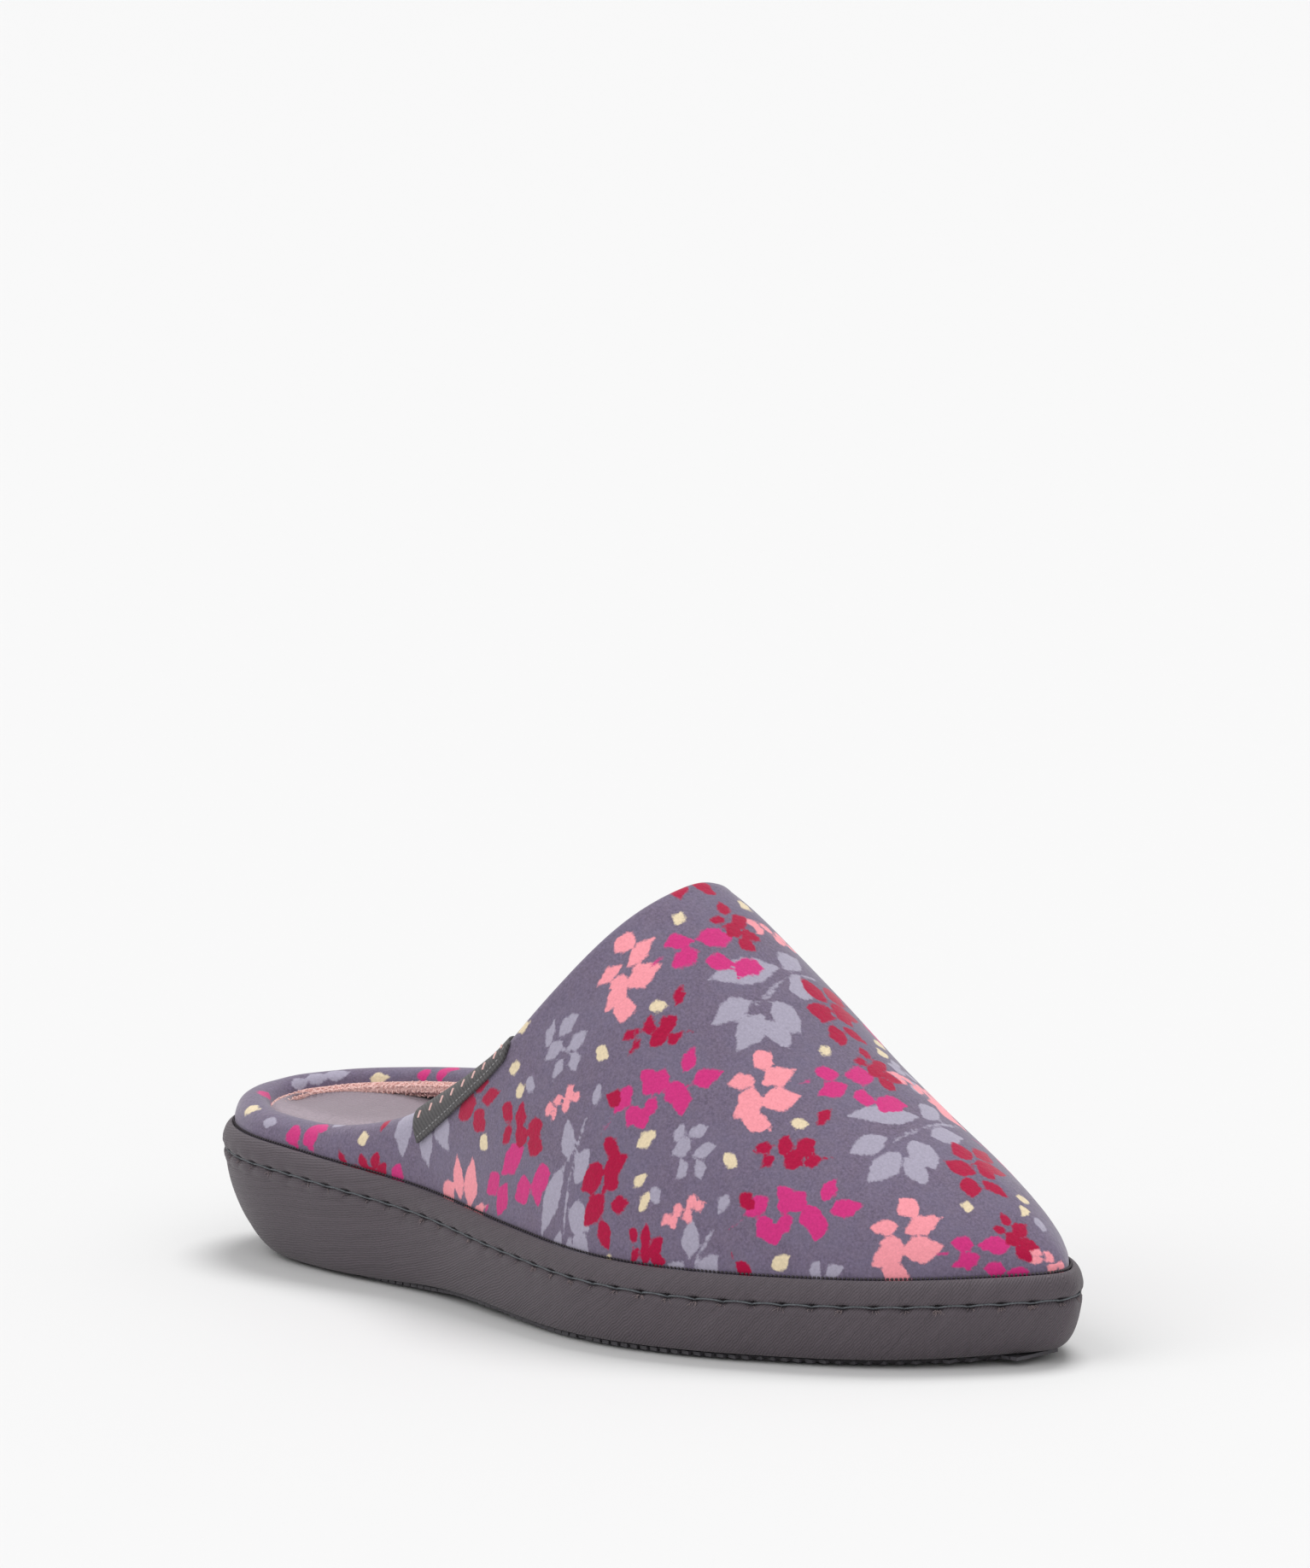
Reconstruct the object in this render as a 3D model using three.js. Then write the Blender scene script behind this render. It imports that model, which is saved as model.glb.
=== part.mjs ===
// Scuff slipper for the right foot, a women's size 39, in millimetres.
// +X runs from heel to toe, -Y is the outer side of the foot and +Z is up.
// A padded fabric upper and a footbed sit on a foam wedge wrapped in twill,
// with a twill rand round the feather edge and a rubber outsole below.

import * as THREE from "three";
import { mergeVertices } from "three/addons/utils/BufferGeometryUtils.js";

const { clamp, lerp, smoothstep } = THREE.MathUtils;

// Overall sizes of the last and the sole
const LENGTH = 258;
const BALL_WIDTH = 96;
const HEEL_HEIGHT = 31.5;
const BALL_HEIGHT = 20.5;
const PEAK_HEIGHT = 98.5;

// Rand, the strip round the feather edge
const RAND_HEIGHT = 6;
const RAND_THICKNESS = 2.6;
const RAND_BULGE = 0.3;
const EDGE_ROUND = 0.5;

// Wall of the upper, thin in the vamp and padded round the collar and rim
const VAMP_WALL = 3;
const COLLAR_WALL = 4.2;
const RIM_WALL = 9.2;
const RIM_FOOT_WALL = 7.2;

// Footbed
const INSOLE_HEEL = 7;
const INSOLE_TOE = 4.5;
const INSOLE_EDGE_ROUND = 2.4;
const HEEL_CUP = 1.8;

// Woven tab folded over the collar on the outer side
const TAB_THICKNESS = 0.8;
const TAB_OUTSIDE = 4;
const TAB_CORNER = 5.5;
const TAB_INSIDE = 3;

// Sole
const HEEL_BILGE = 15.5;
const HEEL_SLANT = 1;
const OUTSOLE_THICKNESS = 1.4;
const OUTSOLE_INSET = 1.2;
const HEEL_INSET = 4;
const ARCH_RISE = 1.2;
const TOE_SPRING = 1;

// Gap between pieces that touch
const GAP = 0.3;

// Plan of the feather edge, from the heel round the outer side and back
// along is a share of LENGTH and across a share of BALL_WIDTH
const OUTLINE = [
  { along: 0, across: 0 },
  { along: 0.03, across: -0.2 },
  { along: 0.1, across: -0.325 },
  { along: 0.2, across: -0.362 },
  { along: 0.35, across: -0.375 },
  { along: 0.5, across: -0.468 },
  { along: 0.62, across: -0.525 },
  { along: 0.72, across: -0.496 },
  { along: 0.82, across: -0.4 },
  { along: 0.9, across: -0.285 },
  { along: 0.965, across: -0.11 },
  { along: 1, across: 0.06 },
  { along: 0.972, across: 0.18 },
  { along: 0.91, across: 0.288 },
  { along: 0.82, across: 0.375 },
  { along: 0.71, across: 0.445 },
  { along: 0.6, across: 0.438 },
  { along: 0.48, across: 0.37 },
  { along: 0.35, across: 0.335 },
  { along: 0.2, across: 0.355 },
  { along: 0.1, across: 0.318 },
  { along: 0.03, across: 0.2 },
];

// Rand's top edge: rise is the share of the way from BALL_HEIGHT to HEEL_HEIGHT
const FEATHER = [
  { at: 0, rise: 1 },
  { at: 0.15, rise: 0.88 },
  { at: 0.35, rise: 0.52 },
  { at: 0.5, rise: 0.24 },
  { at: 0.65, rise: 0.03 },
  { at: 0.8, rise: -0.02 },
  { at: 1, rise: 0.03 },
];

// Underside: arch is a share of ARCH_RISE and spring of TOE_SPRING, while bilge is a
// share of HEEL_BILGE and slant of HEEL_SLANT, how far the wall comes in at its foot
const UNDERSIDE = [
  { at: 0, arch: 0, spring: 0, bilge: 1, slant: 1 },
  { at: 0.12, arch: 0, spring: 0, bilge: 0.6, slant: 0.8 },
  { at: 0.3, arch: 0, spring: 0, bilge: 0.28, slant: 0.5 },
  { at: 0.43, arch: 1, spring: 0, bilge: 0.2, slant: 0.3 },
  { at: 0.56, arch: 0, spring: 0, bilge: 0.19, slant: 0.1 },
  { at: 0.7, arch: 0, spring: 0, bilge: 0.2, slant: 0 },
  { at: 0.84, arch: 0, spring: 0, bilge: 0.24, slant: 0 },
  { at: 0.93, arch: 0, spring: 0.3, bilge: 0.3, slant: 0 },
  { at: 1, arch: 0, spring: 1, bilge: 0.38, slant: 0 },
];

// Crest of the last: height is a share of the rise from HEEL_HEIGHT to PEAK_HEIGHT, across
// is a share of BALL_WIDTH, and side pulls each rib's curve up at its foot and crown out
// at the crest
const CREST = [
  { at: 0, height: 0.294, across: 0, side: 0.5, crown: 0.5 },
  { at: 0.24, height: 0.397, across: 0.01, side: 0.5, crown: 0.5 },
  { at: 0.36, height: 0.949, across: 0.02, side: 0.5, crown: 0.45 },
  { at: 0.46, height: 1.213, across: 0.035, side: 0.4, crown: 0.5 },
  { at: 0.574, height: 1, across: 0.04, side: 0.34, crown: 0.57 },
  { at: 0.602, height: 0.94, across: 0.042, side: 0.35, crown: 0.56 },
  { at: 0.63, height: 0.862, across: 0.045, side: 0.36, crown: 0.55 },
  { at: 0.69, height: 0.687, across: 0.05, side: 0.38, crown: 0.53 },
  { at: 0.752, height: 0.496, across: 0.055, side: 0.41, crown: 0.53 },
  { at: 0.814, height: 0.334, across: 0.06, side: 0.46, crown: 0.55 },
  { at: 0.872, height: 0.203, across: 0.06, side: 0.52, crown: 0.58 },
  { at: 0.91, height: 0.124, across: 0.06, side: 0.58, crown: 0.62 },
];
const CREST_START_SHARE = 0.1;
const CREST_END_SHARE = 0.905;
const CREST_TURN_SHARE = 0.6;

// Top edge of the collar on each side in side view, up to the throat's peak, in shares of
// the same rise
const COLLAR = [
  { at: 0, outer: 0.096, inner: 0.096 },
  { at: 0.05, outer: 0.085, inner: 0.112 },
  { at: 0.12, outer: 0.067, inner: 0.13 },
  { at: 0.22, outer: 0.064, inner: 0.165 },
  { at: 0.31, outer: 0.137, inner: 0.218 },
  { at: 0.368, outer: 0.249, inner: 0.268 },
  { at: 0.4225, outer: 0.364, inner: 0.331 },
  { at: 0.465, outer: 0.474, inner: 0.463 },
  { at: 0.52, outer: 0.713, inner: 0.713 },
  { at: 0.56, outer: 0.934, inner: 0.934 },
  { at: 0.6, outer: 1.154, inner: 1.154 },
];

// Ribs of the upper. Their feet are spread evenly, up to PEAK_FOOT_SHARE of a side's length
// at the throat, and their tops crowd together near the peak
const PEAK_RIB = 27;
const LAST_RIB = 49;
const PEAK_FOOT_SHARE = 0.6;
const PEAK_CROWDING = 7;
const TOE_CROWDING = 0.35;
const LEVELS = 9;
const LIP_STEPS = 4;
const TAB_FIRST_RIB = 14.3;
const TAB_LAST_RIB = 19.7;
const TAB_LEAN = 1;
const TAB_STEPS = 12;

// Smooth curve through one column of a table
function column(rows, key, by = "at") {
  const xs = rows.map((row) => row[by]);
  const ys = rows.map((row) => row[key]);
  const slopes = xs.map((_, i) => {
    const a = Math.max(i - 1, 0);
    const b = Math.min(i + 1, xs.length - 1);
    return (ys[b] - ys[a]) / (xs[b] - xs[a]);
  });
  return (x) => {
    const t = clamp(x, xs[0], xs.at(-1));
    const i = Math.min(xs.findLastIndex((v) => v <= t), xs.length - 2);
    const step = xs[i + 1] - xs[i];
    const u = (t - xs[i]) / step;
    const blend = u * u * (3 - 2 * u);
    const bow = step * u * (1 - u) * ((1 - u) * slopes[i] - u * slopes[i + 1]);
    const chord = ys[i + 1] - ys[i];
    return ys[i] + chord * blend + bow;
  };
}

const rise = column(FEATHER, "rise");
const arch = column(UNDERSIDE, "arch");
const spring = column(UNDERSIDE, "spring");
const bilge = column(UNDERSIDE, "bilge");
const slant = column(UNDERSIDE, "slant");
const crestHeight = column(CREST, "height");
const crestAcross = column(CREST, "across");
const sidePull = column(CREST, "side");
const crownPull = column(CREST, "crown");
const collarHeights = [column(COLLAR, "outer"), column(COLLAR, "inner")];

const featherZ = (x) => BALL_HEIGHT + (HEEL_HEIGHT - BALL_HEIGHT) * rise(x / LENGTH);
const platformTopZ = (x) => featherZ(x) - RAND_HEIGHT - GAP;
const seatZ = (x) => platformTopZ(x) + GAP;
const groundZ = (x) => Math.max(ARCH_RISE * arch(x / LENGTH) + TOE_SPRING * spring(x / LENGTH), 0);
const outsoleTopZ = (x) => groundZ(x) + OUTSOLE_THICKNESS;
const platformFootZ = (x) => outsoleTopZ(x) + GAP;

// Feather edge and crest: each side runs from the back of the heel to the tip of the toe

const OUTER = 0;
const INNER = 1;

function sideLines() {
  const points = OUTLINE.map((p) => new THREE.Vector3(p.along * LENGTH, p.across * BALL_WIDTH, 0));
  const loop = new THREE.CatmullRomCurve3(points, true, "centripetal").getPoints(1600);
  loop.pop();
  const heel = loop.reduce((best, p, i) => (p.x < loop[best].x ? i : best), 0);
  const turned = [...loop.slice(heel), ...loop.slice(0, heel)];
  const toe = turned.reduce((best, p, i) => (p.x > turned[best].x ? i : best), 0);
  const outer = turned.slice(0, toe + 1);
  const inner = [turned[0], ...turned.slice(toe).reverse()];
  return [outer, inner].map((line) => {
    const run = [0];
    for (let i = 1; i < line.length; i++) run.push(run[i - 1] + line[i].distanceTo(line[i - 1]));
    return { line, run };
  });
}

const SIDES = sideLines();

function pointAlong({ line, run }, share) {
  const target = clamp(share, 0, 1) * run.at(-1);
  const i = Math.max(run.findIndex((v) => v >= target - 1e-9), 1);
  return line[i - 1].clone().lerp(line[i], (target - run[i - 1]) / (run[i] - run[i - 1]));
}

// Point on the feather edge, moved in square to it by inset
function edgePoint(side, along, inset = 0) {
  const step = 0.004;
  const other = SIDES[1 - side];
  const here = pointAlong(SIDES[side], along);
  const before = along < step ? pointAlong(other, step) : pointAlong(SIDES[side], along - step);
  const after = along > 1 - step ? pointAlong(other, 1 - step) : pointAlong(SIDES[side], along + step);
  const way = after.sub(before).normalize();
  const turn = side === OUTER ? 1 : -1;
  return here.add(new THREE.Vector3(-way.y * turn, way.x * turn, 0).multiplyScalar(inset));
}

const crestTurnX = CREST_TURN_SHARE * LENGTH;

// Where a rib meets the crest: the ribs round heel and toe gather short of both ends
function crestX(along) {
  const x = (pointAlong(SIDES[OUTER], along).x + pointAlong(SIDES[INNER], along).x) / 2;
  const reach = x < crestTurnX ? crestTurnX : LENGTH - crestTurnX;
  const end = (x < crestTurnX ? CREST_START_SHARE : CREST_END_SHARE) * LENGTH;
  const u = Math.abs(x - crestTurnX) / reach;
  const pace = reach / Math.abs(end - crestTurnX);
  return crestTurnX + (end - crestTurnX) * (pace * u + (1 - pace) * u ** 3);
}

const riseZ = (share) => lerp(HEEL_HEIGHT, PEAK_HEIGHT, share);
const crestZ = (x) => riseZ(crestHeight(x / LENGTH));

// Edge of the collar's outer face in side view, below the collar by the half-round lip
function edgeHeight(side, x, thickness) {
  const h = (v) => riseZ(collarHeights[side](v / LENGTH));
  const slope = h(x + 0.5) - h(x - 0.5);
  return h(x) - (thickness / 2) * Math.hypot(1, slope);
}

// Where along the sides the collar reaches the crest
function findPeak() {
  let low = 0.3;
  let high = 0.8;
  for (let n = 0; n < 30; n++) {
    const along = (low + high) / 2;
    const x = crestX(along);
    if (edgeHeight(OUTER, x, COLLAR_WALL) < crestZ(x)) low = along;
    else high = along;
  }
  return low;
}

const peakAlong = findPeak();

// Shares of a side's length at which a rib has its foot and its top
function ribFoot(rib) {
  if (rib <= PEAK_RIB) return (PEAK_FOOT_SHARE * rib) / PEAK_RIB;
  return lerp(PEAK_FOOT_SHARE, 1, towardsToe(rib));
}

function ribTop(rib) {
  const crowd = (n) => (n * n) / (n + PEAK_CROWDING);
  if (rib <= PEAK_RIB) return peakAlong * (1 - crowd(PEAK_RIB - rib) / crowd(PEAK_RIB));
  return lerp(peakAlong, 1, towardsToe(rib) ** 1.3);
}

function towardsToe(rib) {
  const u = (rib - PEAK_RIB) / (LAST_RIB - PEAK_RIB);
  return u * (1 + TOE_CROWDING * (1 - u));
}

// Stations all round the shoe: the outer side's ribs forward, then the inner side's back
const LOOP = [];
for (let rib = 0; rib <= LAST_RIB; rib++) LOOP.push({ side: OUTER, rib });
for (let rib = LAST_RIB - 1; rib > 0; rib--) LOOP.push({ side: INNER, rib });
for (const at of LOOP) {
  at.along = ribFoot(at.rib);
  at.topAlong = ribTop(at.rib);
  at.edge = edgePoint(at.side, at.along);
}
const COUNT = LOOP.length;
const mate = (i) => (COUNT - i) % COUNT;

// One point at each station, in from the feather edge and at a height
function ring(inset, height) {
  return LOOP.map((at, i) => {
    const p = edgePoint(at.side, at.along, inset(at.edge.x, i));
    return p.setZ(height(at.edge.x, i));
  });
}

// Ring drawn in towards the middle line of the shoe
function drawnIn(points, keep, height) {
  return points.map((p, i) => {
    const middle = p.clone().add(points[mate(i)]).multiplyScalar(0.5);
    return middle.lerp(p, keep).setZ(height(LOOP[i].edge.x, i));
  });
}

// Solids from rings of points

// Closed mesh from faces given as point numbers, four-sided ones cut along their
// shorter diagonal
function solid(points, faces) {
  const cut = ([a, b, c, d]) => {
    if (d === undefined) return [a, b, c];
    const across = points[a].distanceTo(points[c]) > points[b].distanceTo(points[d]) + 1e-6;
    return across ? [b, c, d, b, d, a] : [a, b, c, a, c, d];
  };
  const geometry = new THREE.BufferGeometry();
  const positions = new Float32Array(points.flatMap((p) => [p.x, p.y, p.z]));
  geometry.setAttribute("position", new THREE.BufferAttribute(positions, 3));
  geometry.setIndex(faces.flatMap(cut));
  const merged = mergeVertices(geometry, 1e-4);
  merged.computeVertexNormals();
  return merged;
}

function strip(lower, upper) {
  return Array.from({ length: COUNT }, (_, i) => {
    const j = (i + 1) % COUNT;
    return [lower + i, lower + j, upper + j, upper + i];
  });
}

// Lid across a ring from side to side
function lid(start, facesUp) {
  const faces = [];
  for (let i = 0; i < LAST_RIB; i++) {
    const quad = [i, i + 1, mate(i + 1), mate(i)];
    const corners = quad.filter((v, k) => quad.indexOf(v) === k).map((v) => start + v);
    faces.push(facesUp ? corners : corners.reverse());
  }
  return faces;
}

// Solid through rings that climb from an underside lid to a top lid
function stack(rings) {
  const faces = rings.slice(1).flatMap((_, r) => strip(r * COUNT, (r + 1) * COUNT));
  return solid(rings.flat(), [...lid(0, false), ...faces, ...lid((rings.length - 1) * COUNT, true)]);
}

// Solid band whose rings go once round its section
function band(rings) {
  const faces = rings.flatMap((_, r) => strip(r * COUNT, ((r + 1) % rings.length) * COUNT));
  return solid(rings.flat(), faces);
}

// Sole

// Foam wedge, its wall round below like a boat's and deepest under the heel
function platform() {
  const walls = [90, 80, 69, 57, 43, 24, 8].map((degrees) => {
    const angle = THREE.MathUtils.degToRad(degrees);
    const drop = Math.sin(angle);
    return ring(
      (x) => HEEL_BILGE * bilge(x / LENGTH) * (1 - Math.cos(angle)) + HEEL_SLANT * slant(x / LENGTH) * drop,
      (x) => lerp(platformTopZ(x), platformFootZ(x), drop),
    );
  });
  const shoulder = ring(() => EDGE_ROUND, platformTopZ);
  return stack([...walls, shoulder]);
}

// Outsole, flat under heel and ball, with an arch between and a little toe spring
function outsole() {
  const foot = (x) => HEEL_BILGE * bilge(x / LENGTH) + HEEL_SLANT * slant(x / LENGTH);
  const edge = (x) => foot(x) + lerp(HEEL_INSET, OUTSOLE_INSET, smoothstep(x / LENGTH, 0.05, 0.3));
  return stack([
    ring((x) => edge(x) + EDGE_ROUND, groundZ),
    ring(edge, (x) => groundZ(x) + EDGE_ROUND),
    ring(edge, outsoleTopZ),
  ]);
}

// Twill rand, a soft strip with a rolled top edge that hugs the upper
function rand() {
  const section = [
    { inset: RAND_THICKNESS, height: 0 },
    { inset: 0.6, height: 0 },
    { inset: -RAND_BULGE * 0.6, height: 0.16 },
    { inset: -RAND_BULGE, height: 0.42 },
    { inset: RAND_THICKNESS * 0.12, height: 0.74 },
    { inset: RAND_THICKNESS * 0.5, height: 0.94 },
    { inset: RAND_THICKNESS, height: 1 },
  ];
  return band(
    section.map((point) =>
      ring(() => point.inset, (x) => seatZ(x) + RAND_HEIGHT * point.height),
    ),
  );
}

// Upper

const upperInset = RAND_THICKNESS + GAP;

// Point on the last, t of the way up a rib from the feather edge to the crest
function lastPoint(side, along, t) {
  const foot = edgePoint(side, along, upperInset);
  const footZ = featherZ(pointAlong(SIDES[side], along).x);
  const x = crestX(along);
  const at = x / LENGTH;
  const slope = crestZ(x + 0.5) - crestZ(x - 0.5);
  const nearFoot = (1 - t) ** 3 + 3 * (1 - t) ** 2 * t;
  const nearCrest = 3 * (1 - t) * t * t;
  const reach = nearFoot + nearCrest * crownPull(at);
  const lift = 3 * (1 - t) ** 2 * t * sidePull(at) + nearCrest + t ** 3;
  const middleY = crestAcross(at) * BALL_WIDTH;
  const px = x + (foot.x - x) * reach;
  const py = middleY + (foot.y - middleY) * reach;
  const top = crestZ(x) + slope * (px - x);
  return new THREE.Vector3(px, py, footZ + (top - footZ) * lift);
}

// Wall of the upper at a station: share v of the way up, padded towards the rim
function wallAt(rib, v) {
  const foot = lerp(RIM_FOOT_WALL, VAMP_WALL, smoothstep(rib, 10, 20));
  const top = lerp(RIM_WALL, COLLAR_WALL, smoothstep(rib, 11, 24));
  const vamp = smoothstep(rib, PEAK_RIB, PEAK_RIB + 5);
  return lerp(lerp(foot, top, v * v), VAMP_WALL, vamp);
}

// How far up its rib a station's wall goes: to the collar, or past the peak to the crest
function topShare({ side, rib, topAlong }) {
  if (rib >= PEAK_RIB) return 1;
  let low = 0;
  let high = 1;
  for (let n = 0; n < 30; n++) {
    const t = (low + high) / 2;
    const p = lastPoint(side, topAlong, t);
    if (p.z < edgeHeight(side, p.x, wallAt(rib, 1))) low = t;
    else high = t;
  }
  return low;
}

// The upper's outer face, its inner face and the lip that joins them at the collar
function upperWall() {
  const tops = LOOP.map(topShare);
  const levels = Array.from({ length: LEVELS + 1 }, (_, k) => k / LEVELS);
  const hem = ring(() => upperInset, seatZ);
  const skin = levels.map((v) =>
    LOOP.map((at, i) => lastPoint(at.side, lerp(at.along, at.topAlong, v), tops[i] * v)),
  );
  const outer = [hem, ...skin];
  const faces = outer.slice(1).flatMap((_, r) => strip(r * COUNT, (r + 1) * COUNT));
  const normals = sheetNormals(outer, faces);
  const inner = outer.map((points, r) =>
    points.map((p, i) => {
      const v = Math.max(r - 1, 0) / LEVELS;
      return p.clone().addScaledVector(normals[r][i], -wallAt(LOOP[i].rib, v));
    }),
  );
  const collar = LOOP.map((at, i) => ({ ...at, i })).filter(
    ({ side, rib }) => rib < PEAK_RIB || (rib === PEAK_RIB && side === OUTER),
  );
  const lip = collar.map(({ i }, k) => {
    const before = collar.at(k - 1).i;
    const after = collar[(k + 1) % collar.length].i;
    const way = outer.at(-1)[after].clone().sub(outer.at(-1)[before]);
    const middle = outer.at(-1)[i].clone().lerp(inner.at(-1)[i], 0.5);
    const across = outer.at(-1)[i].clone().sub(middle);
    const up = across.clone().cross(way).setLength(across.length());
    return Array.from({ length: LIP_STEPS - 1 }, (_, step) => {
      const angle = (Math.PI * (step + 1)) / LIP_STEPS;
      const arm = across.clone().multiplyScalar(Math.cos(angle)).addScaledVector(up, Math.sin(angle));
      return { point: middle.clone().add(arm), normal: arm.normalize() };
    });
  });
  return { outer, inner, normals, faces, collar, lip };
}

// Normals of a sheet of rings, level at its hem and round the rim; vertices in one
// place share theirs
function sheetNormals(rings, faces) {
  const sheet = solid(rings.flat(), faces);
  const position = sheet.getAttribute("position");
  const normal = sheet.getAttribute("normal");
  const key = (p) => [p.x, p.y, p.z].map((c) => Math.round(c * 1e3)).join();
  const byPlace = new Map();
  for (let k = 0; k < position.count; k++) {
    const place = new THREE.Vector3().fromBufferAttribute(position, k);
    byPlace.set(key(place), new THREE.Vector3().fromBufferAttribute(normal, k));
  }
  return rings.map((points, r) =>
    points.map((p, i) => {
      const place = new THREE.Vector3(Math.fround(p.x), Math.fround(p.y), Math.fround(p.z));
      const n = byPlace.get(key(place)).clone();
      const tilt = r < 2 ? 0 : smoothstep(LOOP[i].rib, 8, 20);
      return n.setZ(n.z * tilt).normalize();
    }),
  );
}

function upperSolid({ outer, inner, faces, collar, lip }) {
  const points = [...outer.flat(), ...inner.flat()];
  const shift = outer.length * COUNT;
  const top = (outer.length - 1) * COUNT;
  const all = [...faces];
  all.push(...faces.map((face) => face.map((v) => v + shift).reverse()));
  all.push(...strip(shift, 0));
  const lipStart = points.length;
  const across = (k) => [
    top + collar[k].i,
    ...lip[k].map((_, step) => lipStart + k * lip[k].length + step),
    shift + top + collar[k].i,
  ];
  collar.forEach((_, k) => {
    const here = across(k);
    const there = across((k + 1) % collar.length);
    for (let step = 1; step < here.length; step++) {
      all.push([here[step - 1], there[step - 1], there[step], here[step]]);
    }
  });
  points.push(...lip.flat().map(({ point }) => point));
  return solid(points, all);
}

// Point on a face of the wall, a distance down from the collar's edge
function downFromEdge(rings, normals, i, distance) {
  let left = distance;
  for (let r = rings.length - 1; r > 0; r--) {
    const step = rings[r][i].distanceTo(rings[r - 1][i]);
    if (left <= step) {
      const u = left / step;
      const point = rings[r][i].clone().lerp(rings[r - 1][i], u);
      return { point, normal: normals[r][i].clone().lerp(normals[r - 1][i], u).normalize() };
    }
    left -= step;
  }
  throw new Error("the tab is longer than the wall");
}

// Point and normal on the outer side between two ribs, from those at each rib
function betweenRibs(collar, rib, placeAt) {
  const [low, high] = [Math.floor(rib), Math.ceil(rib)].map((whole) =>
    placeAt(collar.findIndex((at) => at.side === OUTER && at.rib === whole)),
  );
  const share = rib - Math.floor(rib);
  return {
    point: low.point.clone().lerp(high.point, share),
    normal: low.normal.clone().lerp(high.normal, share).normalize(),
  };
}

// Woven tab: one strip of cloth folded over the collar, outside, over the lip and inside,
// its lower corner further down and further forward
function tab({ outer, inner, normals, collar, lip }) {
  const sections = Array.from({ length: TAB_STEPS + 1 }, (_, n) => {
    const rib = lerp(TAB_FIRST_RIB, TAB_LAST_RIB, n / TAB_STEPS);
    const corner = (1 - n / TAB_STEPS) ** 2;
    const down = TAB_OUTSIDE + TAB_CORNER * corner;
    const outside = (share) =>
      betweenRibs(collar, rib + TAB_LEAN * corner * share, (k) =>
        downFromEdge(outer, normals, collar[k].i, down * share),
      );
    const inside = (share) =>
      betweenRibs(collar, rib, (k) => {
        const { point, normal } = downFromEdge(inner, normals, collar[k].i, TAB_INSIDE * share);
        return { point, normal: normal.negate() };
      });
    return [
      ...[1, 3 / 4, 1 / 2, 1 / 4, 0].map(outside),
      ...lip[0].map((_, step) => betweenRibs(collar, rib, (k) => lip[k][step])),
      ...[0, 1 / 2, 1].map(inside),
    ];
  });
  const face = (off) =>
    sections.map((section) =>
      section.map(({ point, normal }) => point.clone().addScaledVector(normal, off)),
    );
  const under = face(GAP);
  const over = face(GAP + TAB_THICKNESS);
  const width = sections[0].length;
  const back = sections.length * width;
  const faces = [];
  for (let s = 0; s + 1 < sections.length; s++) {
    for (let k = 0; k + 1 < width; k++) {
      const quad = [s * width + k, (s + 1) * width + k, (s + 1) * width + k + 1, s * width + k + 1];
      faces.push(quad, quad.map((v) => v + back).reverse());
    }
  }
  const edge = [];
  for (let s = 0; s < sections.length; s++) edge.push(s * width);
  for (let k = 1; k < width; k++) edge.push((sections.length - 1) * width + k);
  for (let s = sections.length - 2; s >= 0; s--) edge.push(s * width + width - 1);
  for (let k = width - 2; k > 0; k--) edge.push(k);
  edge.forEach((a, n) => {
    const b = edge[(n + 1) % edge.length];
    faces.push([b, a, a + back, b + back]);
  });
  return solid([...over.flat(), ...under.flat()], faces);
}

// Footbed, thick and cupped at the heel, thin under the toes
function insole() {
  const side = (i) => upperInset + GAP + wallAt(LOOP[i].rib, 0);
  const thick = (x) => lerp(INSOLE_HEEL, INSOLE_TOE, smoothstep(x / LENGTH, 0.3, 0.7));
  const cup = (x) => HEEL_CUP * (1 - smoothstep(x / LENGTH, 0.3, 0.55));
  const topZ = (x) => seatZ(x) + thick(x);
  const brim = ring((x, i) => side(i) + INSOLE_EDGE_ROUND, topZ);
  return stack([
    ring((x, i) => side(i), seatZ),
    ring((x, i) => side(i), (x) => topZ(x) - INSOLE_EDGE_ROUND),
    ring((x, i) => side(i) + INSOLE_EDGE_ROUND * 0.35, (x) => topZ(x) - INSOLE_EDGE_ROUND * 0.35),
    brim,
    drawnIn(brim, 0.75, (x) => topZ(x) - cup(x) * 0.5),
    drawnIn(brim, 0.4, (x) => topZ(x) - cup(x) * 0.95),
  ]);
}

// Assembly

const wall = upperWall();
const PIECES = [
  { name: "outsole", geometry: outsole(), color: 0x2e2c30, roughness: 0.75 },
  { name: "platform", geometry: platform(), color: 0x5a5659, roughness: 0.85 },
  { name: "rand", geometry: rand(), color: 0x5a5659, roughness: 0.85 },
  { name: "upper", geometry: upperSolid(wall), color: 0x6f6a80, roughness: 0.9 },
  { name: "insole", geometry: insole(), color: 0x8f8a98, roughness: 0.95 },
  { name: "label", geometry: tab(wall), color: 0x55534f, roughness: 0.8 },
];

const group = new THREE.Group();
for (const { name, geometry, color, roughness } of PIECES) {
  const mesh = new THREE.Mesh(geometry, new THREE.MeshStandardMaterial({ color, roughness, metalness: 0 }));
  mesh.name = name;
  group.add(mesh);
}

// The origin is at the middle of the footprint, on the floor
const centre = new THREE.Box3().setFromObject(group, true).getCenter(new THREE.Vector3());
group.position.set(-centre.x, -centre.y, 0);

export default group;
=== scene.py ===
"""Scuff slipper, right foot: printed velour upper, terry lining, velour footbed, a foam
wedge wrapped in twill, its puckered seam, a ribbed rubber outsole and a woven tab."""

import math
import random

import bmesh
import bpy
import numpy as np
from bpy.props import FloatProperty, FloatVectorProperty, PointerProperty
from mathutils import Matrix, Vector, kdtree, noise


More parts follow.
